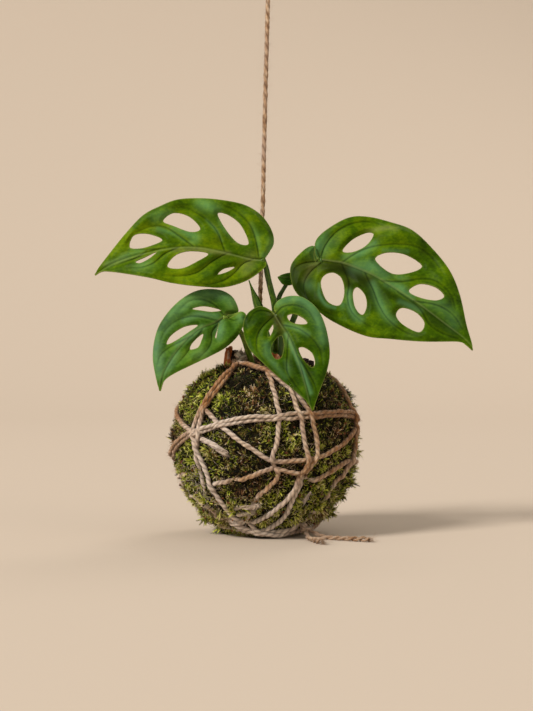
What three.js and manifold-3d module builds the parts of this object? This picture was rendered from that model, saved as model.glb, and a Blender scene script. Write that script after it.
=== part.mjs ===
// A moss ball plant: a ball of soil wrapped in moss and bound with jute twine, from whose top a young
// climbing plant with holed leaves grows. A string goes up from the ball to a loop.
// Millimetres, +Z up, the front is -Y. The origin is the centre of the flat spot that the ball rests on.
//
// Leaf outlines are drawn as the front view shows them, as [x, z] pairs in the upright plane y = 0. A
// point that lies in front of that plane or behind it is put on its line of sight from the eye.
import * as THREE from "three";
import { mergeVertices } from "three/addons/utils/BufferGeometryUtils.js";
import Module from "manifold-3d";

// Eye of the front view
const EYE_X = 0.9;
const EYE_Z = 103;
const EYE_DISTANCE = 900;

// Ball: half width, height of its middle, and how far it reaches above and below that
const BALL_RADIUS = 52;
const BALL_MIDDLE = 50;
const BALL_TOP = 49.5;
const BALL_BOTTOM = 52.9;
const TOP_SQUARENESS = 2.5; // 2 is an ellipse, and more is squarer
const BOTTOM_SQUARENESS = 2;
const MOSS_THICKNESS = 4;
const MOSS_BUMP = 0.6;
const MOSS_AROUND = 39; // faces round the ball
const MOSS_UP = 21; // faces from pole to pole
const INNER_AROUND = 22;
const INNER_UP = 13;
const MOSS_FLOOR = 2.2; // thickness of the moss over the flat spot
const OPENING_RADIUS = 17.7; // of the moss at the top, where the soil shows
const SOIL_CROWN = 98.8; // height of the soil between the stems

// Twine and string
const TWINE_RADIUS = 1.3;
const BAND_RADIUS = 1.9; // of the belt, where two strands lie against each other
const WINDING_STEP = 10.5;
const WINDING_SIDES = 5;
const CHORD_DROP = 0.1; // how far the straight steps of a winding cut inside its arc
const CORD_SIDES = 8;
const CORD_STEP = 7.5;

// Leaves and stems
const BLADE = 1; // thickness from front to back
const HEEL_POWER = 1.7; // how the ribs bunch together at the leaf's heel
const LEAF_ROWS = 11;
const LEAF_COLUMNS = 4; // on each side of the midrib
const HOLE_POINTS = 12;
const HOLE_REACH = 160;
const STEM_SIDES = 8;
const STEM_STEP = 4.5;

const GAP = 0.3; // between pieces that touch
const WELD = 1e-4;

const wasm = await Module();
wasm.setup();

// ---------------------------------------------------------------- solids

// A solid from its corners and triangles, turned so that its faces point out.
function solidFrom(points, triangles) {
  const across = new THREE.Vector3();
  let volume = 0;
  for (const [a, b, c] of triangles) {
    volume += points[a].dot(across.crossVectors(points[b], points[c]));
  }
  const facing = triangles.map(([a, b, c]) => (volume > 0 ? [a, b, c] : [a, c, b]));
  return new wasm.Manifold(
    new wasm.Mesh({
      numProp: 3,
      vertProperties: new Float32Array(points.flatMap((point) => point.toArray())),
      triVerts: new Uint32Array(facing.flat()),
    }),
  );
}

// A solid from a three.js geometry.
function solidOf(geometry) {
  const bare = geometry.index ? geometry.toNonIndexed() : geometry.clone();
  bare.deleteAttribute("normal");
  bare.deleteAttribute("uv");
  const merged = mergeVertices(bare, WELD);
  return new wasm.Manifold(
    new wasm.Mesh({
      numProp: 3,
      vertProperties: merged.attributes.position.array,
      triVerts: new Uint32Array(merged.index.array),
    }),
  );
}

function geometryOf(solid) {
  const mesh = solid.getMesh();
  const geometry = new THREE.BufferGeometry();
  geometry.setAttribute("position", new THREE.BufferAttribute(mesh.vertProperties, 3));
  geometry.setIndex(new THREE.BufferAttribute(mesh.triVerts, 1));
  geometry.computeVertexNormals();
  return geometry;
}

function joined(solids) {
  return solids.reduce((whole, solid) => whole.add(solid));
}

function without(solid, ...others) {
  return others.reduce((rest, other) => rest.subtract(other), solid);
}

// The largest of the loose pieces that a cut leaves.
function largest(solid) {
  return solid.decompose().reduce((best, piece) => (piece.volume() > best.volume() ? piece : best));
}

function block(width, depth, height, x, y, z) {
  return solidOf(new THREE.BoxGeometry(width, depth, height).translate(x, y, z));
}

// An upright round bar between two heights.
function upright(radius, low, high) {
  const bar = new THREE.CylinderGeometry(radius, radius, high - low, 36).rotateX(Math.PI / 2);
  return solidOf(bar.translate(0, 0, (low + high) / 2));
}

// A lump: an ellipsoid with its centre and its half width, depth and height.
function lump([x, y, z], [width, depth, height]) {
  return solidOf(new THREE.SphereGeometry(1, 10, 6).scale(width, depth, height).translate(x, y, z));
}

// Rings of points joined by a skin, closed by a fan at each end.
function skinned(rings, start, end) {
  const count = rings[0].length;
  const points = [...rings.flat(), start, end];
  const triangles = [];
  const first = rings.length * count;
  for (let i = 0; i < count; i++) {
    const next = (i + 1) % count;
    for (let row = 0; row + 1 < rings.length; row++) {
      const here = row * count;
      const above = here + count;
      triangles.push([here + i, here + next, above + next], [here + i, above + next, above + i]);
    }
    const last = first - count;
    triangles.push([first, next, i], [first + 1, last + i, last + next]);
  }
  return solidFrom(points, triangles);
}

function smooth(points, closed = false) {
  return new THREE.CatmullRomCurve3(points, closed, "catmullrom", 0.5);
}

// A plain tube of even thickness along a route.
function tube(route, radius, sides, step) {
  const curve = smooth(route);
  const section = new THREE.Shape();
  for (let i = 0; i < sides; i++) {
    const turn = (2 * Math.PI * i) / sides;
    section[i ? "lineTo" : "moveTo"](radius * Math.cos(turn), radius * Math.sin(turn));
  }
  section.closePath();
  const steps = Math.max(2, Math.round(curve.getLength() / step));
  return solidOf(new THREE.ExtrudeGeometry(section, { steps, extrudePath: curve, curveSegments: 1 }));
}

// A stem along a route, whose radius is a function of the share of its length; grow thickens it all over.
function stem(route, radiusAt, grow = 0) {
  const curve = smooth(route);
  const length = curve.getLength();
  const steps = Math.round(length / STEM_STEP);
  const frames = curve.computeFrenetFrames(steps);
  const rings = [];
  for (let i = 0; i <= steps; i++) {
    const centre = curve.getPointAt(i / steps);
    if (i === 0) centre.addScaledVector(frames.tangents[0], -grow);
    if (i === steps) centre.addScaledVector(frames.tangents[steps], grow);
    const radius = radiusAt(i / steps) + grow;
    rings.push(
      Array.from({ length: STEM_SIDES }, (_, side) => {
        const turn = (2 * Math.PI * side) / STEM_SIDES;
        return centre
          .clone()
          .addScaledVector(frames.normals[i], radius * Math.cos(turn))
          .addScaledVector(frames.binormals[i], radius * Math.sin(turn));
      }),
    );
  }
  const ends = [curve.getPointAt(0), curve.getPointAt(1)];
  ends[0].addScaledVector(frames.tangents[0], -grow);
  ends[1].addScaledVector(frames.tangents[steps], grow);
  return skinned(rings, ...ends);
}

function tapered(low, high) {
  return (share) => low + (high - low) * share;
}

// ---------------------------------------------------------------- sight lines

// The place at depth y that the front view shows at [x, z].
function inSight(x, y, z) {
  const nearness = 1 + y / EYE_DISTANCE;
  return new THREE.Vector3(EYE_X + (x - EYE_X) * nearness, y, EYE_Z + (z - EYE_Z) * nearness);
}

// Stems are drawn as [x, z] in the front view, with the depth y last.
function stemRoute(points) {
  return points.map(([x, z, y]) => inSight(x, y, z));
}

// ---------------------------------------------------------------- ball

// A place on the ball: longitude from the front, towards the right, and latitude, both in degrees.
function onBall([longitude, latitude], lift) {
  const turn = THREE.MathUtils.degToRad(longitude);
  const rise = THREE.MathUtils.degToRad(latitude);
  const up = latitude > 0;
  const power = 2 / (up ? TOP_SQUARENESS : BOTTOM_SQUARENESS);
  const out = (BALL_RADIUS + lift) * Math.max(0, Math.cos(rise)) ** power;
  const height = (up ? BALL_TOP : BALL_BOTTOM) + lift;
  return new THREE.Vector3(
    out * Math.sin(turn),
    -out * Math.cos(turn),
    BALL_MIDDLE + Math.sign(rise) * height * Math.abs(Math.sin(rise)) ** power,
  );
}

// Moves a point straight from the ball's middle onto its surface, raised by lift.
function pressedOnBall(point, lift) {
  const rise = point.z - BALL_MIDDLE;
  const power = rise > 0 ? TOP_SQUARENESS : BOTTOM_SQUARENESS;
  const height = (rise > 0 ? BALL_TOP : BALL_BOTTOM) + lift;
  const out = Math.hypot(point.x, point.y);
  const size = (out / (BALL_RADIUS + lift)) ** power + (Math.abs(rise) / height) ** power;
  const scale = size ** (-1 / power);
  return new THREE.Vector3(point.x * scale, point.y * scale, BALL_MIDDLE + rise * scale);
}

// The ball's skin at an offset from its mean surface, with low rolling bumps.
function ballSolid(lift, bump, around, up) {
  const rings = [];
  for (let row = 1; row < up; row++) {
    const latitude = -90 + (180 * row) / up;
    rings.push(
      Array.from({ length: around }, (_, i) => {
        const longitude = (360 * i) / around;
        const turn = THREE.MathUtils.degToRad(longitude);
        const rise = THREE.MathUtils.degToRad(latitude);
        const roll = Math.sin(5 * turn + 1.3) * Math.cos(4 * rise) + Math.sin(9 * turn + 7 * rise);
        return onBall([longitude, latitude], lift + 0.5 * bump * roll * Math.cos(rise));
      }),
    );
  }
  return skinned(rings, onBall([0, -90], lift), onBall([0, 90], lift));
}

const belowSpot = block(200, 200, 40, 0, 0, -20);

function mossCover() {
  const floor = block(200, 200, 40, 0, 0, MOSS_FLOOR - 20);
  const cavity = without(ballSolid(-MOSS_THICKNESS, 0, INNER_AROUND, INNER_UP), floor);
  const opening = upright(OPENING_RADIUS, 80, 120);
  return without(ballSolid(0, MOSS_BUMP, MOSS_AROUND, MOSS_UP), cavity, opening, belowSpot);
}

// The soil fills the moss and rises in its opening; the stems stand in plain holes in it.
function soilBall(holes) {
  const body = ballSolid(-MOSS_THICKNESS - GAP, 0, INNER_AROUND, INNER_UP);
  const rim = OPENING_RADIUS - GAP;
  const crown = [
    [0, 70],
    [rim, 70],
    [rim, 94],
    [0.7 * rim, 97],
    [0.35 * rim, 98.4],
    [0, SOIL_CROWN],
  ].map(([out, height]) => new THREE.Vector2(out, height));
  const mound = solidOf(new THREE.LatheGeometry(crown, 24).rotateX(Math.PI / 2));
  const level = block(200, 200, 40, 0, 0, MOSS_FLOOR + GAP - 20);
  return without(body.add(mound), level, ...holes);
}

// ---------------------------------------------------------------- twine

// Each winding as [longitude, latitude] points on the ball, in the order in which the twine runs. The
// belt is two strands side by side, which one thicker tube stands for.
const WINDINGS = {
  leftMeridian: [
    [-64, 77], [-39, 60], [-36, 39], [-41, 23], [-45, 12], [-46, 3], [-40, -10], [-34, -26],
    [-26, -43], [-10, -55], [18, -59], [60, -59], [105, -52], [135, -30], [150, 0], [158, 32],
    [165, 58], [-172, 71],
  ],
  leftMeridianSecond: [
    [-70, 75], [-47, 58], [-41, 38], [-45, 23], [-49, 11], [-50, 1], [-49, -12], [-45, -30],
    [-38, -46], [-19, -56], [-4, -58], [12, -58], [28, -56], [43, -53],
  ],
  rightBow: [
    [-64, 76], [-16, 65], [0, 58], [15, 44], [21, 28], [22, 13], [25, 1], [23, -13], [16, -29],
    [2, -41], [-20, -49], [-42, -46], [-60, -36], [-85, -22], [-115, -5], [-140, 18], [-160, 42],
    [-176, 62], [168, 71],
  ],
  rightBowSecond: [
    [42, 71], [34, 57], [27, 42], [24, 28], [28, 18], [31, 8], [32, 0], [27, -12], [21, -28],
    [14, -45], [6, -55], [-12, -59], [-50, -59], [-90, -55], [-125, -38], [-145, -10], [-150, 20],
    [-142, 48], [-122, 70],
  ],
  belt: [
    [-78, -4], [-58, 2], [-39, 8], [-18, 13], [6, 15], [32, 17], [55, 17], [78, 15], [110, 10],
    [145, 4], [180, -2], [-145, -7], [-110, -8], [-76, -3],
  ],
  frontDrop: [
    [-1, 60], [4, 47], [7, 31], [8, 13], [6, 1], [5, -6], [7, -14], [3, -19], [-3, -27], [-11, -40],
    [-17, -49],
  ],
  slant: [
    [-43, 22], [-26, 10], [-10, 1], [3, -5], [18, -5], [35, -1], [58, 3], [76, 8], [105, 18],
    [140, 26], [175, 30], [-150, 30], [-120, 25], [-95, 18], [-75, 14], [-55, 11], [-40, 5],
    [-23, -1], [-17, -3],
  ],
  lowSlant: [
    [-37, -19], [-19, -17], [-7, -14], [7, -8], [14, -10], [21, -12], [33, -16], [43, -13],
    [56, -9], [78, -8], [105, -12], [140, -22], [175, -30], [-145, -32], [-110, -26], [-80, -18],
    [-60, -15], [-44, -14],
  ],
  rightEdge: [
    [172, 68], [140, 65], [112, 56], [92, 46], [80, 34], [78, 20], [79, 10], [75, 3], [66, -6],
    [57, -16], [50, -30], [45, -43], [43, -53],
  ],
  collar: [
    [-66, 74], [-100, 72], [-140, 71], [180, 70], [140, 71], [100, 71], [65, 71], [42, 69],
    [25, 62], [12, 50],
  ],
  crossing: [
    [-68, 74], [-110, 77], [-165, 81], [150, 80], [105, 76], [76, 71],
  ],
};

// A strand lies on the moss, pressed to the ball all along its way. grow thickens it and draws it out.
function winding(name, grow) {
  const radius = name === "belt" ? BAND_RADIUS : TWINE_RADIUS;
  const lift = radius + MOSS_BUMP + GAP + CHORD_DROP;
  const rough = smooth(WINDINGS[name].map((point) => onBall(point, lift)));
  const steps = Math.round(rough.getLength() / WINDING_STEP);
  const route = rough.getSpacedPoints(steps).map((point) => pressedOnBall(point, lift));
  drawOut(route[0], route[1], grow);
  drawOut(route[steps], route[steps - 1], grow);
  return tube(route, radius + grow, WINDING_SIDES, WINDING_STEP);
}

// Moves the end of a route away from the point before it.
function drawOut(end, before, distance) {
  const away = end.clone().sub(before).setLength(distance);
  end.add(away);
}

function twineWrap(grow = 0) {
  return joined(Object.keys(WINDINGS).map((name) => winding(name, grow)));
}

// Knots: the centre of each lump and its half sizes
const CROWN_KNOT = [-14.5, -6.5, 101.6];
const CROWN_KNOT_SIZE = [4.4, 3.6, 3.2];
const STRING_KNOT = [-4.4, 10.4, 102.2];
const STRING_KNOT_SIZE = [3.2, 3, 3];
const TIE_KNOT = [22.4, -24.2, 5.4];
const TIE_KNOT_SIZE = [4.4, 3.6, 3.6];

// A knot lies round the strands that it ties.
function knot(centre, size, ...neighbours) {
  return largest(without(lump(centre, size), ...neighbours));
}

function grown(size) {
  return size.map((half) => half + GAP);
}

// Cord routes as [x, y, z] points
const STRING_ROUTE = [
  [-4.4, 10.4, 103.5], [-4.1, 10.3, 109], [-3.3, 10.1, 123], [-2.8, 9.8, 137], [-2.4, 9.5, 150],
  [-2, 9.2, 164], [-1.6, 8.9, 179], [-1.2, 8.6, 193], [-0.9, 8.3, 208], [-0.6, 8, 222],
  [-0.2, 7.7, 237], [0.1, 7.4, 251], [0.5, 7.1, 266], [0.9, 6.8, 280], [1.3, 6.4, 295],
  [1.7, 6, 309], [1.8, 5.9, 318],
];
const LONG_TAIL_ROUTE = [
  [22.4, -24.2, 5.4], [25.2, -26, 4.6], [28, -27.9, 3.3], [30.6, -29.7, 2.2], [33.2, -31.4, 1.6],
  [35.9, -33, 1.35], [38.6, -34.5, 1.35], [41.3, -35.9, 1.35], [44, -37.3, 1.35],
  [46.7, -38.6, 1.35], [49.3, -39.8, 1.35], [51.8, -40.9, 1.35], [54.1, -41.9, 1.35],
  [56.2, -42.9, 1.35], [58.2, -43.8, 1.35],
];
const SHORT_TAIL_ROUTE = [
  [22.4, -24.2, 5.4], [23, -26.9, 4.3], [23.4, -29.4, 3], [23.8, -31.8, 1.9], [24.2, -34, 1.4],
  [24.6, -36.2, 1.35], [25.1, -38.4, 1.35], [25.7, -40.6, 1.35], [26.4, -42.8, 1.35],
  [27.2, -45, 1.35], [28, -47.1, 1.35], [28.9, -49.2, 1.35], [29.8, -51.2, 1.35],
  [30.7, -53.2, 1.35], [31.6, -55.1, 1.35],
];
const LOOP_ROUTE = [
  [1.8, 5.9, 320], [-2.4, 5.7, 326], [-5.2, 5.4, 333], [-5.4, 5.2, 340], [-2.6, 5, 346],
  [2, 5, 348.4], [6.4, 5, 346], [9, 5.2, 340], [8.8, 5.4, 333], [5.8, 5.7, 326], [1.8, 5.9, 320],
];
const LOOP_KNOT = [1.8, 5.9, 321];
const LOOP_KNOT_SIZE = [2.9, 2.7, 3.2];

function asVectors(points) {
  return points.map((point) => new THREE.Vector3(...point));
}

function cord(route) {
  return tube(asVectors(route), TWINE_RADIUS, CORD_SIDES, CORD_STEP);
}

// The loop at the string's end, with the knot that closes it.
function stringLoop() {
  const half = Math.floor(LOOP_ROUTE.length / 2);
  const rising = cord(LOOP_ROUTE.slice(0, half + 2));
  const falling = cord(LOOP_ROUTE.slice(half));
  return joined([rising, falling, lump(LOOP_KNOT, LOOP_KNOT_SIZE)]);
}

// ---------------------------------------------------------------- stems

// Routes as [x, z, depth]: where the front view shows them, with the depth last
const MAIN_STEM = [
  [4.6, 82, 4], [5.2, 92, 3], [6, 101, 2], [7, 110, 0.5], [7.6, 118, -1], [7.8, 125, -2],
];
const STEM_A = [
  [7.2, 116, -1], [6.4, 124, -3.5], [5.4, 133.4, -6.5], [3.5, 140.9, -8.5], [1.7, 148.5, -10],
  [0.4, 154.9, -11.2], [-1.8, 159.2, -11.8],
];
const STEM_B = [
  [6.8, 108, 0.5], [10.6, 113.7, 2.5], [14.4, 119.6, 4], [16.8, 124.7, 4.5], [19.7, 132.2, 4],
  [23.8, 142.1, 1.5], [27.8, 151.4, -2.5], [31.4, 157.2, -5.6], [33.6, 158.2, -6.2],
];
const STEM_C = [
  [-6, 80, -1], [-6.8, 90, -3], [-7.8, 99.2, -5.5], [-10.4, 107.3, -9], [-13.3, 114.8, -12.5],
  [-16.8, 120.6, -15.5], [-21.2, 124.4, -17.6], [-24.5, 124.8, -18.6],
];
const STEM_D = [
  [6.2, 105, 1], [6.2, 109, -5], [6.3, 115, -12], [6.4, 121, -19.5], [6.6, 125, -25],
  [7.6, 125.6, -27.4],
];
const SPEAR = [
  [5.6, 104, 2], [3.4, 109.5, 0], [0.6, 117.7, -1], [-1.7, 124.7, -1], [-3.9, 131.1, -0.5],
  [-6.5, 138.4, 0.5], [-9.3, 146.6, 1.5],
];
const YOUNG_STEM = [
  [7.8, 121, 0], [7.2, 129, 3], [8.1, 136.3, 4.6], [10.4, 140.9, 5.2], [13.4, 145.4, 5.4],
  [15.2, 147.2, 5.3],
];

// The rolled leaf swells from its stalk and narrows to a point.
function spearRadius(share) {
  const swell = THREE.MathUtils.smoothstep(share, 0.3, 0.62);
  const point = THREE.MathUtils.smoothstep(share, 0.62, 1);
  return 1.4 + 1.4 * swell - 2.4 * point;
}

// name, route and radius of each stem, in the order in which they give way to each other
const STEMS = [
  ["main_stem", MAIN_STEM, tapered(3.3, 2.7)],
  ["petiole_front", STEM_D, tapered(1.8, 1.3)],
  ["petiole_upper_left", STEM_A, tapered(2.1, 1.6)],
  ["petiole_upper_right", STEM_B, tapered(2, 1.5)],
  ["young_stalk", YOUNG_STEM, tapered(1.7, 1.3)],
  ["rolled_leaf", SPEAR, spearRadius],
  ["petiole_lower_left", STEM_C, tapered(1.9, 1.3)],
];

function stemSolids() {
  const solids = {};
  const kept = [];
  for (const [name, route, radiusAt] of STEMS) {
    const path = stemRoute(route);
    solids[name] = largest(without(stem(path, radiusAt), ...kept));
    kept.push(stem(path, radiusAt, GAP));
  }
  return { solids, kept };
}

// The dry brown sheath round the foot of the main stem: a short open tube that stands on the soil.
const SHEATH = [[5.4, 92, 3], [6, 99, 2.2], [6.5, 104.2, 1.4]];

function stemSheath(stemRoom) {
  const inTheSoil = block(40, 40, 40, 0, 0, SOIL_CROWN + GAP - 20);
  return largest(without(stem(stemRoute(SHEATH), tapered(5.6, 4.4)), ...stemRoom, inTheSoil));
}

// ---------------------------------------------------------------- leaves

// upper and lower run from the notch at the stalk, round the lobe, to the tip; midrib from stalk to
// tip. depths are the midrib's at its base, middle and tip. rise is the depth gained for each
// millimetre away from the midrib, and tuck for each millimetre behind the stalk.
const LEAVES = {
  leaf_upper_left: {
    upper: [
      [0.5, 160], [2.5, 163], [5, 168], [4, 175], [-1.5, 183.5], [-10, 189.5], [-20.5, 192.5],
      [-35, 194], [-50.5, 193.5], [-61, 189.5], [-71, 184], [-81, 173.5], [-91, 161], [-96, 154.5],
      [-98.5, 150.3],
    ],
    lower: [
      [0.5, 157.5], [0.5, 155], [-3, 151.5], [-11.5, 146], [-24, 142.5], [-37.5, 143], [-54, 145],
      [-66.5, 148], [-81, 150.5], [-91.5, 151.8], [-95.5, 151.3], [-98.5, 149.4],
    ],
    midrib: [
      [-1, 158.7], [-8.5, 159.5], [-20.5, 162.5], [-37.5, 166], [-52, 166], [-66, 163.5],
      [-80.5, 159.5], [-92, 154.5], [-98.5, 149.8],
    ],
    depths: [-14, -22, -10],
    rise: [0.28, -0.22],
    tuck: [0.1, 0.1],
    holes: [
      [[-27.5, 185], [-21.5, 184.5], [-14, 178.5], [-9.5, 168], [-15.5, 168], [-22.5, 175.5]],
      [[-59, 181], [-53, 185.5], [-44, 183.5], [-37.5, 176.5], [-43, 174.5], [-53, 178]],
      [[-78.5, 166], [-76, 172.5], [-68, 173.5], [-59.5, 170], [-66.5, 166.5], [-73.5, 165]],
      [[-75, 157.5], [-69.5, 160], [-62.8, 163], [-67.3, 159], [-72.5, 156.5]],
      [[-56.5, 154.5], [-52, 161], [-43.5, 163.5], [-33, 162], [-39.5, 157.5], [-48.5, 153.5]],
      [[-27.3, 150], [-23.8, 153.2], [-17.5, 154.3], [-22, 151.5]],
    ],
  },
  leaf_upper_right: {
    upper: [
      [30.5, 159], [29, 163], [30, 170.5], [38, 177.5], [49, 183], [59.5, 183.5], [72, 180.5],
      [85.5, 175.5], [97.5, 164.5], [107, 152.5], [113, 138], [117, 120.5], [119.7, 111],
      [120.7, 106.2],
    ],
    lower: [
      [29.4, 157.2], [28.3, 161], [28.6, 166.5], [23, 164.5], [15.5, 156], [15, 147.5], [18.5, 139],
      [27.5, 131.5], [39, 123], [58, 114.5], [73.5, 112.5], [93, 111], [111.5, 111], [116.5, 109],
      [120.3, 105.8],
    ],
    midrib: [
      [31, 158], [39, 157], [46.5, 155.5], [61.5, 149.5], [75, 141.5], [90, 131.5], [104.5, 120.5],
      [115.5, 112], [120.5, 106],
    ],
    depths: [-8.4, -17, -26],
    rise: [0.3, -0.16],
    tuck: [-0.3, 0.4],
    holes: [
      [[45, 163.5], [50.5, 170], [59, 174], [63, 173], [59, 167], [51, 163]],
      [[64, 158.5], [70, 162.5], [81, 161.5], [91, 155], [84.5, 151], [73.5, 150.5]],
      [[83.5, 140.5], [90, 144.5], [99, 142.5], [104, 137.5], [99, 135], [88.5, 137]],
      [[32.5, 143.5], [34, 149], [39.5, 151], [44.5, 147.5], [46, 139], [43, 132], [36, 134.5]],
      [[51, 139], [53.5, 142.5], [58, 138], [59, 131.5], [56.5, 126.5], [52.5, 130.5]],
      [[76, 126.5], [79.5, 130.5], [87.5, 128], [92.5, 122], [89.5, 116.5], [80, 121]],
    ],
  },
  leaf_lower_left: {
    upper: [
      [-21.5, 126.5], [-16.5, 127.5], [-15.5, 130], [-19, 137], [-26.5, 141], [-37.5, 141],
      [-46.5, 137], [-54.5, 130], [-61, 121], [-64, 112], [-65, 101.5], [-63.5, 91.5],
      [-61.3, 82.5],
    ],
    lower: [
      [-21, 124.5], [-17, 126.5], [-13.5, 128.5], [-11, 126.5], [-12, 121.5], [-16, 114],
      [-23, 107.5], [-32, 102.5], [-43.5, 97], [-53.5, 92], [-58.5, 88], [-60.5, 82.3],
    ],
    midrib: [
      [-22.5, 125.5], [-29, 121.5], [-37, 118.5], [-43.5, 113.5], [-51.5, 104.5], [-57, 96],
      [-59.8, 89], [-60.9, 82.4],
    ],
    depths: [-20, -27, -30],
    rise: [0.2, -0.05],
    tuck: [0.1, -0.2],
    holes: [
      [[-42, 130], [-36, 131.5], [-29, 130.5], [-25.5, 129], [-30.8, 128.3], [-36.5, 129]],
      [[-57, 109.5], [-54.5, 114.5], [-47, 119.5], [-39, 120.5], [-45, 116], [-52, 111.5]],
      [[-43.5, 106.5], [-42, 110.5], [-36, 115.5], [-37, 111], [-39, 107.5]],
      [[-28.2, 113.2], [-27.4, 118], [-26.8, 121.4], [-27.6, 118], [-28.8, 114]],
    ],
  },
  leaf_front: {
    upper: [
      [6.4, 128], [5.3, 131], [8, 135], [14.5, 137.5], [22.5, 136.5], [30.5, 130], [35, 120],
      [37.5, 106], [36.5, 96], [32.5, 84.5], [29.7, 76.5], [28, 71.2],
    ],
    lower: [
      [5, 127], [3, 129], [-2, 131.5], [-7.5, 129.5], [-11.5, 125], [-12.5, 118], [-9.5, 107.5],
      [-1, 98.5], [9.5, 89], [22, 78.5], [25.3, 74.6], [27.4, 70.9],
    ],
    midrib: [
      [6, 127.5], [8.5, 123], [14, 114.5], [18, 105], [21.5, 94.5], [24.5, 84], [26.5, 76],
      [27.7, 71],
    ],
    depths: [-28, -43, -51],
    rise: [0.12, -0.02],
    tuck: [0.25, 0.25],
    holes: [
      [[13, 126], [17, 127], [22.5, 124.5], [24.5, 121.5], [20.5, 121], [15, 122.5]],
      [[4.8, 121], [4.6, 117.3], [2.5, 113.5], [1.7, 116]],
      [[9.5, 114.5], [11, 109], [9.5, 102], [6, 101], [3.5, 106], [5.5, 111.5]],
      [[19.5, 107], [23, 107.5], [27.5, 104], [29, 98.5], [27, 96], [22, 101]],
    ],
  },
  young_leaf: {
    upper: [[20.4, 150.3], [18, 151.2], [13.3, 150.8], [9.9, 149.9], [7.6, 148.7]],
    lower: [[20.4, 147.8], [18, 145], [14, 143.6], [10.4, 144.2], [8.6, 146.2], [7.4, 148]],
    midrib: [[20.4, 149.1], [16, 147.8], [11, 147.5], [7.5, 148.4]],
    depths: [3.6, 2.6, 4],
    rise: [0.25, -0.1],
    tuck: [0, 0],
    holes: [],
  },
};

// An outline in the front view, with z as the curve's second number.
function outline(points, closed = false) {
  return smooth(points.map(([x, z]) => new THREE.Vector3(x, z, 0)), closed);
}

// A leaf as a surface: share runs along the margin from notch to tip, and side from -1 at the lower
// margin over 0 at the midrib to 1 at the upper margin. A rib joins each margin point to the midrib.
function leafSurface(leaf) {
  const margins = [outline(leaf.upper), outline(leaf.lower)];
  const midrib = outline(leaf.midrib);
  const heel = midrib.getPointAt(0);
  const heading = midrib.getTangentAt(0);
  const [base, middle, tip] = leaf.depths;
  return (share, side) => {
    const along = share ** HEEL_POWER;
    const lower = side < 0 ? 1 : 0;
    const rib = midrib.getPointAt(along);
    const spot = rib.clone().lerp(margins[lower].getPointAt(share), Math.abs(side));
    const behind = Math.max(0, -spot.clone().sub(heel).dot(heading));
    const arch = base + (tip - base) * along + 4 * (middle - (base + tip) / 2) * along * (1 - along);
    const depth = arch + leaf.rise[lower] * spot.distanceTo(rib) + leaf.tuck[lower] * behind;
    return new THREE.Vector3(spot.x, depth, spot.y);
  };
}

// The blade before its holes are cut: both faces share one pattern of triangles.
function bladeSolid(leaf, thickness) {
  const surface = leafSurface(leaf);
  const rows = leaf.holes.length ? LEAF_ROWS : 8;
  const columns = leaf.holes.length ? LEAF_COLUMNS : 2;
  const across = 2 * columns + 1;
  const points = [];
  for (const face of [-0.5, 0.5]) {
    for (let row = 0; row <= rows; row++) {
      for (let column = 0; column < across; column++) {
        const { x, y, z } = surface(row / rows, (column - columns) / columns);
        points.push(inSight(x, y + face * thickness, z));
      }
    }
  }
  const at = (face, row, column) => (face * (rows + 1) + row) * across + column;
  const triangles = [];
  const wall = (rowA, columnA, rowB, columnB) => {
    const [a, b] = [at(0, rowA, columnA), at(0, rowB, columnB)];
    const [c, d] = [at(1, rowB, columnB), at(1, rowA, columnA)];
    triangles.push([a, b, c], [a, c, d]);
  };
  for (let row = 0; row < rows; row++) {
    for (let column = 0; column + 1 < across; column++) {
      const corners = [[row, column], [row, column + 1], [row + 1, column + 1], [row + 1, column]];
      const [a, b, c, d] = corners.map((corner) => at(0, ...corner));
      const [e, f, g, h] = corners.map((corner) => at(1, ...corner));
      triangles.push([a, d, c], [a, c, b], [e, g, h], [e, f, g]);
    }
    wall(row + 1, 0, row, 0);
    wall(row, across - 1, row + 1, across - 1);
  }
  for (let column = 0; column + 1 < across; column++) {
    wall(0, column, 0, column + 1);
    wall(rows, column + 1, rows, column);
  }
  return solidFrom(points, triangles);
}

// A bar along the lines of sight that cuts one hole, from front to back.
function holeSolid(points) {
  const rim = outline(points, true).getSpacedPoints(HOLE_POINTS).slice(0, HOLE_POINTS);
  const shape = new THREE.Shape(rim.map(({ x, y }) => new THREE.Vector2(x, y)));
  const bar = new THREE.ExtrudeGeometry(shape, { depth: HOLE_REACH, bevelEnabled: false });
  bar.rotateX(Math.PI / 2).translate(0, HOLE_REACH / 2, 0);
  const corners = bar.attributes.position;
  for (let i = 0; i < corners.count; i++) {
    const { x, y, z } = inSight(corners.getX(i), corners.getY(i), corners.getZ(i));
    corners.setXYZ(i, x, y, z);
  }
  return solidOf(bar);
}

// ---------------------------------------------------------------- bits on the crown

// A curled dry leaf sheath and a chip of bark lie on the moss beside the crown knot.
const CURL_ROUTE = [[-21.4, -4, 93], [-22.4, -4.4, 100], [-21.2, -4.6, 107]];
const CURL_HOLLOW_ROUTE = [[-20, -6.6, 98.5], [-20.6, -6.6, 103], [-20, -6.6, 110]];
const CHIP = [-18.8, 1.8, 98.6];
const CHIP_SIZE = [2.6, 4.6, 3.4];

function drySheath(...neighbours) {
  const curl = stem(asVectors(CURL_ROUTE), tapered(3.2, 1.8));
  const hollow = stem(asVectors(CURL_HOLLOW_ROUTE), tapered(1.6, 1.9));
  return largest(without(curl, hollow, ...neighbours));
}

function barkChip(...neighbours) {
  return largest(without(lump(CHIP, CHIP_SIZE), ...neighbours));
}

// ---------------------------------------------------------------- assembly

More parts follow.
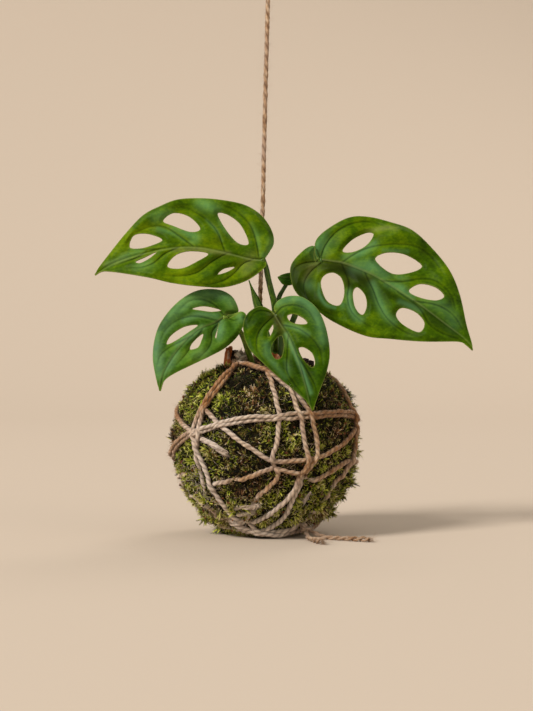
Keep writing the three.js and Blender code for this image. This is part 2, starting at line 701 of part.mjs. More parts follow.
const COLOURS = {
  moss: { color: 0x66701f, roughness: 0.95, metalness: 0 },
  soil: { color: 0x2e2118, roughness: 0.95, metalness: 0 },
  twine: { color: 0xb08a62, roughness: 0.9, metalness: 0 },
  leaf: { color: 0x4a7a22, roughness: 0.35, metalness: 0 },
  stem: { color: 0x3f5e1c, roughness: 0.45, metalness: 0 },
  bark: { color: 0x6b3f22, roughness: 0.85, metalness: 0 },
};

const plant = new THREE.Group();

function place(name, solid, look) {
  const mesh = new THREE.Mesh(geometryOf(solid), new THREE.MeshStandardMaterial(COLOURS[look]));
  mesh.name = name;
  plant.add(mesh);
}

const { solids: stems, kept: stemRoom } = stemSolids();
const leafRoom = Object.values(LEAVES).map((leaf) => bladeSolid(leaf, BLADE + 2 * GAP));
const soil = soilBall(stemRoom);
const twineRoom = twineWrap(GAP);
const mossRoom = ballSolid(MOSS_BUMP + GAP, 0, MOSS_AROUND, MOSS_UP);

place("soil_ball", soil, "soil");
place("moss_cover", mossCover(), "moss");
place("twine_wrap", twineWrap(), "twine");

place("crown_knot", knot(CROWN_KNOT, CROWN_KNOT_SIZE, twineRoom, ...stemRoom), "twine");
place("string_knot", knot(STRING_KNOT, STRING_KNOT_SIZE, twineRoom, ...stemRoom), "twine");
place("tie_knot", knot(TIE_KNOT, TIE_KNOT_SIZE, twineRoom, mossRoom, belowSpot), "twine");

const tieRoom = lump(TIE_KNOT, grown(TIE_KNOT_SIZE));
place("tie_tail_long", largest(without(cord(LONG_TAIL_ROUTE), tieRoom, twineRoom)), "twine");
place("tie_tail_short", largest(without(cord(SHORT_TAIL_ROUTE), tieRoom, twineRoom)), "twine");
place("hanging_string", largest(without(
  cord(STRING_ROUTE),
  lump(STRING_KNOT, grown(STRING_KNOT_SIZE)),
  lump(LOOP_KNOT, grown(LOOP_KNOT_SIZE)),
)), "twine");
place("string_loop", stringLoop(), "twine");

for (const [name, solid] of Object.entries(stems)) {
  place(name, largest(without(solid, ...leafRoom)), "stem");
}
place("stem_sheath", stemSheath(stemRoom), "bark");
for (const [name, leaf] of Object.entries(LEAVES)) {
  place(name, without(bladeSolid(leaf, BLADE), ...leaf.holes.map(holeSolid)), "leaf");
}

const crownRoom = lump(CROWN_KNOT, grown(CROWN_KNOT_SIZE));
place("dry_sheath", drySheath(mossRoom, twineRoom, crownRoom), "bark");
place("bark_chip", barkChip(mossRoom, twineRoom, crownRoom), "bark");

export default plant;
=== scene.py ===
"""The looks of a moss ball plant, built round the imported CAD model.

Lengths are in millimetres until a piece is put into the scene, which is in metres. The front is -Y.
Leaves and stems are drawn as the front view shows them, as [x, z] in the upright plane y = 0, and a
point at another depth lies on its line of sight from the eye, as in the part's own source.
"""

import bpy
import numpy as np
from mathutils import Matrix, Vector, geometry


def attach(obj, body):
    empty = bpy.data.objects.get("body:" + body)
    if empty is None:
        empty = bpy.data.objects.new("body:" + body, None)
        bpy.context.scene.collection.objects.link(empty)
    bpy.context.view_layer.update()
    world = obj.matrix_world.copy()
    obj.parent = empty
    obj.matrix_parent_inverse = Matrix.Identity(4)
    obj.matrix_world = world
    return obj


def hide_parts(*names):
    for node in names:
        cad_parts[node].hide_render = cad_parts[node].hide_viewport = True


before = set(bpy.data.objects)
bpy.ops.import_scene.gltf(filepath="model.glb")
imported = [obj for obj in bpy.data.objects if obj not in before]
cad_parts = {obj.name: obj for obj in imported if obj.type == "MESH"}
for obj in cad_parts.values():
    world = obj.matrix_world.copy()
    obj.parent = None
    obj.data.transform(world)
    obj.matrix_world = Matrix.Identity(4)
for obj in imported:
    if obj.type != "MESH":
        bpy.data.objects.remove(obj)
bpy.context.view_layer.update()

MM = 0.001
BODY = "root"

# ---- driving dimensions

EYE = np.array([0.9, -900.0, 103.0])
SENSOR = 36.0
VIEW_HEIGHT = 412.4  # what the picture's height takes in at the ball's middle

BALL_RADIUS = 52.0
BALL_MIDDLE = 50.0
BALL_TOP = 49.5
BALL_BOTTOM = 52.9
TOP_SQUARENESS = 2.5
BOTTOM_SQUARENESS = 2.0
OPENING_RADIUS = 17.7
CROWN_HEIGHT = 80.0  # above which the ball is open in its middle

TWINE_RADIUS = 1.3
WINDING_LIFT = 1.5  # of a strand's centre above the ball's mean surface
PLY_PITCH = 7.6  # length in which the two plies go once round each other
STRING_PITCH = 12.0
STRAND_STEP = 0.7

HEEL_POWER = 1.7
LATTICE = 0.55  # spacing of a blade's points
BLADE = 0.6

FLOOR_GAP = 0.1  # least height of moss, hairs and litter


# ---- numbers along lines


def unit(vectors):
    """The vectors, each at a length of one."""
    return vectors / np.maximum(np.linalg.norm(vectors, axis=-1, keepdims=True), 1e-12)


def smooth_line(points, closed=False, fine=24):
    """The uniform Catmull-Rom curve through the points, as many short chords."""
    p = np.asarray(points, float)
    ends = (p[-1:], p[:1], p[1:2]) if closed else (2 * p[:1] - p[1:2], 2 * p[-1:] - p[-2:-1])
    p = np.vstack([ends[0], p, *ends[1:]])
    a, b, c, d = p[:-3, None], p[1:-2, None], p[2:-1, None], p[3:, None]
    t = np.linspace(0, 1, fine, endpoint=False)[:, None]
    spans = 2 * b + (c - a) * t + (2 * a - 5 * b + 4 * c - d) * t**2 + (3 * b - a - 3 * c + d) * t**3
    return np.vstack([0.5 * spans.reshape(-1, p.shape[1]), p[-2:-1]])


def lengths(line):
    """How far along the line each of its points lies."""
    return np.concatenate([[0], np.cumsum(np.linalg.norm(np.diff(line, axis=0), axis=1))])


def along(line, share):
    """The places at these shares of the line's length."""
    run = lengths(line)
    return np.stack([np.interp(share * run[-1], run, column) for column in line.T], axis=-1)


def spaced(line, step):
    """The line in equal steps of about this length."""
    count = max(2, round(lengths(line)[-1] / step)) + 1
    return along(line, np.linspace(0, 1, count))


def nearest(points, targets, chunk=4000):
    """Each point's distance to the nearest target, and that target's index."""
    far, which = np.empty(len(points)), np.empty(len(points), int)
    size = (targets**2).sum(1)
    for start in range(0, len(points), chunk):
        part = points[start : start + chunk]
        square = (part**2).sum(1)[:, None] - 2 * part @ targets.T + size
        which[start : start + chunk] = square.argmin(1)
        far[start : start + chunk] = np.sqrt(np.maximum(square.min(1), 0))
    return far, which


def ramp(value, low, high):
    """0 below low, 1 above high, and smooth between."""
    t = np.clip((value - low) / (high - low), 0, 1)
    return t * t * (3 - 2 * t)


WAVES = 7


def rolling(points, wave, seed):
    """A smooth random value of about -1 to 1 at each point: a sum of plane waves about this long."""
    draw = np.random.default_rng(seed)
    ways = unit(draw.normal(size=(WAVES, points.shape[-1]))) * (2 * np.pi / wave)
    ways *= draw.uniform(0.6, 1.6, (WAVES, 1))
    return np.sin(points @ ways.T + draw.uniform(0, 2 * np.pi, WAVES)).sum(-1) / np.sqrt(WAVES)


def bell(far, middle, width):
    """1 at this distance, and less to both sides of it."""
    return np.exp(-(((far - middle) / width) ** 2))


def cross_ways(path, reference):
    """Two directions across a path at each of its points: one square to the reference, which is never
    along the path and is one for all points or one for each, and one square to that."""
    way = unit(np.gradient(path, axis=0))
    across = unit(np.cross(way, reference))
    return across, np.cross(across, way)


def full_turn(sides):
    """The angles of a ring of this many points."""
    return 2 * np.pi * np.arange(sides) / sides


def around(turn, across, up):
    """The directions at these angles round a path, from across over up."""
    return np.cos(turn)[..., None] * across[:, None] + np.sin(turn)[..., None] * up[:, None]


# ---- meshes


def grid(rows, columns):
    """Quads of a closed tube of rings, and each corner's row and unwrapped column."""
    row, column = (x.ravel() for x in np.indices((rows - 1, columns)))
    rows4 = np.stack([row, row, row + 1, row + 1], 1)
    columns4 = np.stack([column, column + 1, column + 1, column], 1)
    return rows4 * columns + columns4 % columns, rows4, columns4


def capped_tube(rings, length=1.0):
    """A closed tube through rings of points: side quads, and a fan to the middle of each end ring. Its
    corners lie this far along it, and from 0 to 1 round it."""
    rows, columns = rings.shape[:2]
    points = np.vstack([rings.reshape(-1, 3), rings[0].mean(0), rings[-1].mean(0)])
    quads, row4, column4 = grid(rows, columns)
    turn = np.arange(columns)
    after = (turn + 1) % columns
    last = (rows - 1) * columns
    first_fan = np.stack([np.full(columns, rows * columns), after, turn], 1)
    last_fan = np.stack([np.full(columns, rows * columns + 1), last + turn, last + after], 1)
    sides = np.stack([row4 / (rows - 1), column4 / columns], -1)
    ends = np.zeros((columns, 3, 2))
    corners = [block * [length, 1.0] for block in (sides, ends, ends + [1.0, 0.0])]
    return points, [quads, first_fan, last_fan], corners


def repeated(faces, count, stride):
    """The faces of this many copies of a shape with stride points."""
    starts = (np.arange(count) * stride)[:, None, None]
    return (faces + starts).reshape(-1, faces.shape[1])


def gather(parts):
    """Several shapes as one: points, faces by their number of corners, corner places and one mark."""
    points, faces, corners, marks, count = [], [], [], [], 0
    for part_points, part_faces, part_corners, part_marks in parts:
        points.append(part_points)
        faces += [block + count for block in part_faces]
        corners += part_corners
        marks.append(part_marks)
        count += len(part_points)
    return np.vstack(points), faces, corners, np.concatenate(marks)


def added(name, data):
    """A new object of this mesh, camera or lamp, in the scene."""
    thing = bpy.data.objects.new(name, data)
    bpy.context.scene.collection.objects.link(thing)
    return thing


def put(name, points, faces, finish, corners=None, marks=None, stands_for=(), flat=False):
    """Makes a mesh object of the shape, in metres, which rides on the plant."""
    mesh = bpy.data.meshes.new(name)
    mesh.vertices.add(len(points))
    mesh.vertices.foreach_set("co", (points * MM).astype(np.float32).ravel())
    loops = np.concatenate([block.ravel() for block in faces])
    sizes = np.concatenate([np.full(len(block), block.shape[1]) for block in faces])
    mesh.loops.add(len(loops))
    mesh.loops.foreach_set("vertex_index", loops.astype(np.int32))
    mesh.polygons.add(len(sizes))
    mesh.polygons.foreach_set("loop_start", (np.cumsum(sizes) - sizes).astype(np.int32))
    mesh.polygons.foreach_set("use_smooth", np.full(len(sizes), not flat))
    if corners is not None:
        places = np.concatenate([block.reshape(-1, 2) for block in corners])
        mesh.uv_layers.new(name="lay").data.foreach_set("uv", places.astype(np.float32).ravel())
    mesh.update(calc_edges=True)
    for mark, values in (marks or {}).items():
        attribute = mesh.attributes.new(mark, "FLOAT", "POINT")
        attribute.data.foreach_set("value", np.asarray(values, np.float32))
    mesh.materials.append(finish)
    piece = added(name, mesh)
    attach(piece, BODY)
    if stands_for:
        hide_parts(*stands_for)
    return piece


def thicken(piece, thick):
    """Gives a sheet its thickness, half of it to each side."""
    solid = piece.modifiers.new("thickness", "SOLIDIFY")
    solid.thickness = thick * MM
    solid.offset = 0


# ---- finishes


def linear(red, green, blue):
    """A colour given as on a screen, 0 to 255, as the renderer's own numbers."""
    share = np.array([red, green, blue]) / 255
    light = np.where(share <= 0.04045, share / 12.92, ((share + 0.055) / 1.055) ** 2.4)
    return tuple(float(x) for x in light)


class Value:
    """A shader socket that takes part in plain sums."""

    def __init__(self, tree, socket):
        self.tree, self.socket = tree, socket

    def sum(self, operation, *terms):
        """One Math node of this operation."""
        node = self.tree.nodes.new("ShaderNodeMath")
        node.operation = operation
        for place, term in zip(node.inputs, terms):
            if isinstance(term, Value):
                self.tree.links.new(term.socket, place)
            else:
                place.default_value = term
        return Value(self.tree, node.outputs[0])

    def __add__(self, other):
        return self.sum("ADD", self, other)

    def __radd__(self, other):
        return self.sum("ADD", other, self)

    def __sub__(self, other):
        return self.sum("SUBTRACT", self, other)

    def __rsub__(self, other):
        return self.sum("SUBTRACT", other, self)

    def __mul__(self, other):
        return self.sum("MULTIPLY", self, other)

    def __rmul__(self, other):
        return self.sum("MULTIPLY", other, self)

    def clipped(self):
        """Held between 0 and 1."""
        return self.sum("MINIMUM", self.sum("MAXIMUM", self, 0.0), 1.0)


class Finish:
    """A material in the making: a Principled surface with steady values, to which patterns are added.
    Colours are given as on a screen, 0 to 255."""

    def __init__(self, name, **steady):
        self.material = bpy.data.materials.new(name)
        self.material.use_nodes = True
        self.tree = self.material.node_tree
        self.surface = self.tree.nodes["Principled BSDF"]
        for socket, value in steady.items():
            self.surface.inputs[socket.replace("_", " ")].default_value = value

    def add(self, kind, settings=None, sockets=None, out=0):
        """One node of this type, with its settings first and then its sockets' values or links."""
        node = self.tree.nodes.new("ShaderNode" + kind)
        for name, value in (settings or {}).items():
            if name == "stops":
                while len(node.color_ramp.elements) < len(value):
                    node.color_ramp.elements.new(0.5)
                for stop, (place, colour) in zip(node.color_ramp.elements, value):
                    stop.position, stop.color = place, (*linear(*colour), 1.0)
            else:
                setattr(node, name, value)
        for socket, value in (sockets or {}).items():
            self.feed(node.inputs[socket], value)
        return Value(self.tree, node.outputs[out])

    def feed(self, socket, value):
        """Links a value to a socket, or sets a colour or number on it."""
        if isinstance(value, Value):
            self.tree.links.new(value.socket, socket)
        elif isinstance(value, tuple) and len(value) == 3 and socket.type == "RGBA":
            socket.default_value = (*linear(*value), 1.0)
        else:
            socket.default_value = value

    def mark(self, name):
        """The piece's own mark of this name."""
        return self.add("Attribute", {"attribute_name": name}, out=2)

    def place(self, stretch=(1, 1, 1), lay=False):
        """Coordinates in metres, or the piece's own lay along and across, stretched."""
        if lay:
            source = self.add("UVMap", {"uv_map": "lay"})
        else:
            source = self.add("TexCoord", out=3)
        return self.add("Mapping", {"vector_type": "POINT"}, {"Vector": source, "Scale": stretch})

    def noise(self, scale, detail=3.0, roughness=0.55, stretch=(1, 1, 1), lay=False):
        """Random grain of this many waves to a metre, or to a length of the lay, times the stretch."""
        sockets = {"Vector": self.place(stretch, lay), "Scale": scale, "Detail": detail}
        return self.add("TexNoise", None, {**sockets, "Roughness": roughness})

    def tint(self, value, *stops):
        """A colour for each value, by stops of (value, colour)."""
        return self.add("ValToRGB", {"stops": stops}, {"Fac": value})

    def three_tones(self, value, dark, middle, light):
        """A tint over the middle of a noise's range."""
        return self.tint(value, (0.3, dark), (0.5, middle), (0.7, light))

    def blend(self, below, above, share):
        """One colour laid over another."""
        return self.add("Mix", {"data_type": "RGBA"}, {0: share, 6: below, 7: above}, out=2)

    def relief(self, height, depth, strength=1.0):
        """A Bump whose height is in shares of the depth, in metres."""
        sockets = {"Height": height, "Distance": depth, "Strength": strength}
        return self.add("Bump", None, sockets)

    def wear(self, **looks):
        """Feeds the surface's sockets, and gives the material."""
        for socket, value in looks.items():
            self.feed(self.surface.inputs[socket.replace("_", " ")], value)
        return self.material


# ---- camera


def make_camera():
    """A level camera at the eye, whose view is the picture's height at the ball's middle."""
    lens = bpy.data.cameras.new("camera")
    lens.sensor_width = SENSOR
    lens.lens = SENSOR * -EYE[1] / VIEW_HEIGHT
    lens.clip_start = 0.05
    lens.clip_end = 20
    camera = added("camera", lens)
    camera.location = Vector(EYE * MM)
    camera.rotation_euler = (np.pi / 2, 0, 0)
    bpy.context.scene.camera = camera


make_camera()


# ---- twine

# Where the twine in front is paler (above 0.5) or browner than elsewhere: x, z, half width, and how
# pale. Partly the jute's own tone and partly painted light: the pale tones low on the ball and on the
# crown knot lighten twine that lies in shade.
TWINE_TONES = [
    [-36, 60, 14, 0.82], [-14, 68, 16, 1.0], [2, 70, 12, 0.75], [-34, 34, 14, 0.85], [-27, 14, 7, 0.45],
    [-33, 84, 14, 0.0], [-50, 58, 8, 0.3], [-52, 72, 8, 0.2], [36, 68, 16, 0.1], [44, 50, 12, 0.2],
    [16, 78, 12, 0.85], [18, 42, 9, 0.45], [19, 26, 10, 1.0], [-6, 7, 16, 1.0], [-16, 20, 8, 1.0],
    [-27, 51, 9, 1.0], [-10, 44, 12, 0.55], [2, 50, 10, 0.75], [8, 34, 9, 0.35], [40, 32, 12, 0.55],
    [51, 40, 8, 0.7], [50, 76, 10, 0.3], [2, 95, 9, 0.45], [-12, 32, 10, 0.35], [4, 62, 8, 0.7],
    [-14, 102.5, 3.5, 1.0], [-5, 97, 6, 0.1], [-20, 96, 5, 0.0], [-24, 92, 6, 0.0], [23, 58, 8, 1.0],
    [30, 52, 7, 0.65], [-31, 24, 8, 0.85],
]
STRING_PALENESS = 0.55
STRING_FROM = 106.0  # height above which all twine is the string's
# The side of each strand that faces outwards and up is painted lighter, and the side away from it darker:
# painted light and shade
LIT_SIDE_WAY = np.array([0, 0, 0.6])


def paleness(points):
    """How pale the twine is at each point, from 0 to 1: the tones near it, weighed by nearness."""
    tones = np.array(TWINE_TONES)
    span = ((points[:, None, [0, 2]] - tones[:, :2]) ** 2).sum(-1)
    weight = np.exp(-span / tones[:, 2] ** 2) * (points[:, 1:2] < 0)
    spread = (weight @ tones[:, 3] + 0.15 * 0.5) / (weight.sum(1) + 0.15)
    return np.where(points[:, 2] > STRING_FROM, STRING_PALENESS, spread)


def twine_finish():
    """Jute: tan fibres that run along the strand, pale where they stand up, with painted shade in the
    grooves and on the far side of each strand, and whitened where the pale mark is high, which is
    partly painted light.
    """
    make = Finish("jute", Roughness=0.9, Specular_IOR_Level=0.15, Sheen_Weight=0.2, Sheen_Roughness=0.5)
    fibres = make.noise(1.0, 4.0, 0.75, (0.42, 30.0, 1), lay=True)
    streaks = make.noise(1.0, 2.0, 0.6, (0.2, 7.0, 1), lay=True)
    patches = make.noise(190.0, 3.0)
    spread = make.noise(38.0, 1.0)
    colour = make.tint(
        (fibres * 0.55 + streaks * 0.55 + patches * 0.45 - 0.27).clipped(),
        (0.33, (104, 70, 42)),
        (0.44, (176, 134, 92)),
        (0.54, (218, 184, 144)),
        (0.66, (244, 228, 204)),
    )
    pale = make.mark("pale")
    # The pale mark is partly the jute's own tone and partly painted light on twine in shade: it turns the
    # twine orange where low and whitens it where high
    rust = ((1 - pale) * 1.1 + spread * 1.2 - 0.75).clipped() * 0.85
    bleach_and_painted_light = (pale * 1.6 + spread * 0.8 - 1.15).clipped() * 0.88
    colour = make.blend(make.blend(colour, (158, 98, 36), rust), (246, 234, 222), bleach_and_painted_light)
    # Painted shade in the grooves and on each strand's far side, by the groove mark
    groove = make.blend(colour, (78, 48, 26), make.mark("groove") * 0.7)
    return make.wear(Base_Color=groove, Normal=make.relief(fibres, 0.0008, 1.0))


JUTE = twine_finish()


def tapered(run, least, reach):
    """A share that grows from least at both ends of a line to 1, at this reach's slope."""
    return np.minimum(1, least + np.minimum(run, run[-1] - run) / reach)


def strand(path, reference, radius=TWINE_RADIUS, sides=14, seed=0, pitch=PLY_PITCH):
    """A strand of two plies laid tight: a tube with two grooves that wind round it. Its radius falls
    from the middle of a ply to a groove by a power of the cosine of the angle between them. The mark
    is painted shade: it darkens the grooves, and the side that faces away from the reference, as in
    cross_ways."""
    run = lengths(path)
    size = 1 + 0.07 * rolling(run[:, None], 9.0, seed + 5) + 0.05 * rolling(run[:, None], 2.6, seed + 6)
    size *= tapered(run, 0.45, 1.2)
    phase = 2 * np.pi * run / pitch + 0.5 * rolling(run[:, None], 30.0, seed + 7)
    turn = full_turn(sides)
    groove = (1 - np.abs(np.cos(turn - phase[:, None]))) ** 1.4
    reach = 1.05 * radius * size[:, None] * (1 - 0.24 * groove)
    ring = around(turn, *cross_ways(path, reference))
    points, faces, corners = capped_tube(path[:, None] + reach[..., None] * ring, run[-1])
    # Painted shade in the grooves and on the side that faces away from the reference
    brown = np.maximum(groove, 0.95 * ramp(-np.sin(turn), -0.45, 0.35))
    return points, faces, corners, np.append(brown.ravel(), [1, 1])


def parted_plies(path, reference, part, seed):
    """The two plies of a strand where they come apart: each is a tube whose ring centres circle the
    path at 0.42 of its radius and, beyond that, as far out as part gives in millimetres."""
    run = lengths(path)
    across, up = cross_ways(path, reference)
    phase = 2 * np.pi * run / (1.3 * PLY_PITCH)
    shapes = []
    for ply in (0, np.pi):
        out = around((phase + ply)[:, None], across, up)[:, 0]
        centre = path + (0.42 * TWINE_RADIUS + part)[:, None] * out
        rough = 1 + 0.12 * rolling(run[:, None], 4.0, seed + round(ply))
        size = 0.62 * TWINE_RADIUS * tapered(run, 0.4, 1.5) * rough
        rings = centre[:, None] + size[:, None, None] * around(full_turn(9), across, up)
        points, faces, corners = capped_tube(rings, run[-1])
        shapes.append((points, faces, corners, np.full(len(points), 0.25)))
    return gather(shapes)


def fibres(roots, ways, reach, seed, width=0.05):
    """Fine hairs: three-sided tubes along arcs that leave each root in its own way and curl."""
    draw = np.random.default_rng(seed)
    count, rows = len(roots), 5
    side = unit(np.cross(ways, draw.normal(size=(count, 3))))
    share = np.linspace(0, 1, rows)[None, :, None]
    long = (reach * draw.uniform(0.4, 1.3, count))[:, None, None]
    curl = draw.uniform(-0.9, 0.9, count)[:, None, None]
    centre = roots[:, None] + long * (share * ways[:, None] + curl * share**2 * side[:, None])
    ring = around(full_turn(3), side, unit(np.cross(ways, side)))
    thick = width * (1 - 0.7 * share)[..., None]
    points = (centre[:, :, None] + thick * ring[:, None]).reshape(-1, 3)
    quads, row4, column4 = grid(rows, 3)
    tip = (rows - 1) * 3
    ends = np.array([[0, 2, 1], [tip, tip + 1, tip + 2]])
    faces = [repeated(quads, count, rows * 3), repeated(ends, count, rows * 3)]
    lay = np.tile(np.stack([row4 * 1.0, column4 / 3], -1), (count, 1, 1))
    return points, faces, [lay, np.zeros((2 * count, 3, 2))], np.zeros(len(points))


def bundle(path, reference, count, spread, seed, width=0.13):
    """A frayed length of twine: fibres that run side by side along the path. Each keeps its own
    distance from the path, as a share of the spread there, and its own slow turn round it."""
    draw = np.random.default_rng(seed)
    across, up = cross_ways(path, reference)
    run = lengths(path)
    shapes = []
    for _ in range(count):
        angle = draw.uniform(0, 2 * np.pi) + run / draw.uniform(2.5, 6.0)
        far = spread * np.sqrt(draw.uniform(0.05, 1)) * (1 + 0.3 * np.sin(run / draw.uniform(0.8, 2.0)))
        centre = path + far[:, None] * around(angle[:, None], across, up)[:, 0]
        part = slice(draw.integers(0, len(path) // 4), len(path) - draw.integers(0, len(path) // 5))
        ring = width * draw.uniform(0.6, 1.4) * around(full_turn(4), across[part], up[part])
        points, faces, corners = capped_tube(centre[part, None] + ring, run[-1])
        corners = [block * [1.0, 0.03] + [draw.uniform(0, 60), draw.uniform(0, 60)] for block in corners]
        shapes.append((points, faces, corners, np.full(len(points), draw.uniform(0, 1) ** 2)))
    return gather(shapes)


def hairs_on(path, count, reach, seed):
    """Fibres that stand out of a strand, most of them leaning along it."""
    draw = np.random.default_rng(seed)
    at = draw.integers(1, len(path) - 1, count)
    way = unit(np.gradient(path, axis=0))[at]
    out = unit(np.cross(way, draw.normal(size=(count, 3))))
    lean = draw.uniform(-1.6, 1.6, (count, 1))
    return fibres(path[at] + 0.8 * TWINE_RADIUS * out, unit(out + lean * way), reach, seed + 1)


# ---- cords

# The routes repeat part.mjs's own points.
STRING_ROUTE = [
    [-4.4, 10.4, 103.5], [-4.1, 10.3, 109], [-3.3, 10.1, 123], [-2.8, 9.8, 137], [-2.4, 9.5, 150],
    [-2, 9.2, 164], [-1.6, 8.9, 179], [-1.2, 8.6, 193], [-0.9, 8.3, 208], [-0.6, 8, 222],
    [-0.2, 7.7, 237], [0.1, 7.4, 251], [0.5, 7.1, 266], [0.9, 6.8, 280], [1.3, 6.4, 295],
    [1.7, 6, 309], [1.8, 5.9, 318],
]
LONG_TAIL_ROUTE = [
    [22.4, -24.2, 5.4], [25.2, -26, 4.6], [28, -27.9, 3.3], [30.6, -29.7, 2.2], [33.2, -31.4, 1.6],
    [35.9, -33, 1.35], [38.6, -34.5, 1.35], [41.3, -35.9, 1.35], [44, -37.3, 1.35],
    [46.7, -38.6, 1.35], [49.3, -39.8, 1.35], [51.8, -40.9, 1.35], [54.1, -41.9, 1.35],
    [56.2, -42.9, 1.35], [58.2, -43.8, 1.35],
]
SHORT_TAIL_ROUTE = [
    [22.4, -24.2, 5.4], [23, -26.9, 4.3], [23.4, -29.4, 3], [23.8, -31.8, 1.9], [24.2, -34, 1.4],
    [24.6, -36.2, 1.35], [25.1, -38.4, 1.35], [25.7, -40.6, 1.35], [26.4, -42.8, 1.35],
    [27.2, -45, 1.35], [28, -47.1, 1.35], [28.9, -49.2, 1.35], [29.8, -51.2, 1.35],
    [30.7, -53.2, 1.35], [31.6, -55.1, 1.35],
]
LOOP_ROUTE = [
    [1.8, 5.9, 320], [-2.4, 5.7, 326], [-5.2, 5.4, 333], [-5.4, 5.2, 340], [-2.6, 5, 346],
    [2, 5, 348.4], [6.4, 5, 346], [9, 5.2, 340], [8.8, 5.4, 333], [5.8, 5.7, 326], [1.8, 5.9, 320],
]
CROWN_KNOT = np.array([-14.5, -6.5, 101.6])
STRING_KNOT = np.array([-4.4, 10.4, 102.2])
TIE_KNOT = np.array([22.4, -24.2, 5.4])
LOOP_KNOT = np.array([1.8, 5.9, 321.0])


def put_twine(name, shapes, floor=FLOOR_GAP, stands_for=()):
    """Twine shapes as one piece of jute, kept this high above the ground."""
    points, faces, corners, groove = gather(shapes)
    points[:, 2] = np.maximum(points[:, 2], floor)
    marks = {"groove": groove, "pale": paleness(points)}
    return put(name, points, faces, JUTE, corners, marks, stands_for)


def knot_strand(centre, turns, wide, tall, lean, seed):
    """A knot as a short coil of strand: it winds round an axis while it shifts along it unevenly."""
    share = np.linspace(0, 1, 160)
    turn = 2 * np.pi * turns * share + seed
    swing = 0.5 * np.sin(2 * np.pi * share)
    along_axis = tall * (share - 0.5) * 2 + swing
    line = np.stack([wide * np.cos(turn), 0.8 * wide * np.sin(turn), along_axis], axis=-1)
    c, s = np.cos(np.radians(lean)), np.sin(np.radians(lean))
    path = centre + line @ np.array([[c, 0, s], [0, 1, 0], [-s, 0, c]]).T
    outward = unit(path - centre + 1e-3)
    return strand(path, outward, 0.92 * TWINE_RADIUS, seed=seed, sides=12)


def make_string():
    """The taut string, the loop that it ends in, and the fibres that stand out of both."""
    path = spaced(smooth_line(STRING_ROUTE), STRAND_STEP)
    loop_path = spaced(smooth_line(LOOP_ROUTE), STRAND_STEP)
    shape = strand(path, [0.3, -1.0, 0], seed=1, pitch=STRING_PITCH)
    string = put_twine("string_twist", [shape], stands_for=["hanging_string"])
    knot = knot_strand(LOOP_KNOT, turns=2.6, wide=1.9, tall=2.0, lean=20, seed=4)
    loop = put_twine("loop_twist", [strand(loop_path, [0, 1.0, 0], seed=2), knot], stands_for=["string_loop"])
    shapes = [hairs_on(path, 420, reach=3.0, seed=11), hairs_on(loop_path, 110, reach=3.0, seed=13)]
    hairs = put_twine("string_fibres", shapes)


def make_tail(name, route, fray, seed):
    """A loose end on the floor, whose plies part towards its tip, with a tuft of fibres there."""
    path = spaced(smooth_line(route), STRAND_STEP)
    run = lengths(path)
    shape = parted_plies(path, [0, 0, 1.0], fray * ramp(run / run[-1], 0.5, 1.0), seed)
    tail = put_twine(name + "_twist", [shape], floor=0.12, stands_for=[name])
    fan = tuft(path[-1], path[-1] - path[-6], 46, reach=4.0, seed=seed)
    hairs = put_twine(name + "_fibres", [fan, hairs_on(path, 70, reach=2.6, seed=seed + 5)])


def tuft(tip, way, count, reach, seed, width=0.09):
    """Fibres that fan out of a strand's cut end."""
    draw = np.random.default_rng(seed)
    way = unit(way)
    roots = tip - draw.uniform(0, 2.5, (count, 1)) * way + draw.normal(0, 0.5, (count, 3))
    ways = unit(way + draw.normal(0, 0.33, (count, 3)))
    return fibres(roots, ways, reach, seed + 3, width)


make_string()
make_tail("tie_tail_long", LONG_TAIL_ROUTE, fray=0.5, seed=21)
make_tail("tie_tail_short", SHORT_TAIL_ROUTE, fray=1.3, seed=31)


# ---- ball


def on_ball(longitude, latitude, lift):
    """Places at these degrees round from the front and up from the middle: a circle swept through a
    superellipse that is squarer above its middle."""
    turn, rise = np.broadcast_arrays(np.radians(longitude), np.radians(latitude))
    power = np.where(rise > 0, 2 / TOP_SQUARENESS, 2 / BOTTOM_SQUARENESS)
    out = (BALL_RADIUS + lift) * np.maximum(0, np.cos(rise)) ** power
    height = np.where(rise > 0, BALL_TOP, BALL_BOTTOM) + lift
    up = np.sign(rise) * height * np.abs(np.sin(rise)) ** power
    return np.stack([out * np.sin(turn), -out * np.cos(turn), BALL_MIDDLE + up], axis=-1)


def pressed_on_ball(points, lift):
    """Moves points straight from the ball's middle onto its surface, and gives the normals there."""
    middle = np.array([0, 0, BALL_MIDDLE])
    rise = points[:, 2] - BALL_MIDDLE
    power = np.where(rise > 0, TOP_SQUARENESS, BOTTOM_SQUARENESS)
    height = np.where(rise > 0, BALL_TOP, BALL_BOTTOM) + lift
    out = np.hypot(points[:, 0], points[:, 1])
    size = (out / (BALL_RADIUS + lift)) ** power + (np.abs(rise) / height) ** power
    placed = middle + (points - middle) * (size ** (-1 / power))[:, None]
    out, rise = np.hypot(placed[:, 0], placed[:, 1]), placed[:, 2] - BALL_MIDDLE
    flat = out ** (power - 2) / (BALL_RADIUS + lift) ** power
    steep = np.sign(rise) * np.abs(rise) ** (power - 1) / height**power
    return placed, unit(np.stack([placed[:, 0] * flat, placed[:, 1] * flat, steep], axis=-1))


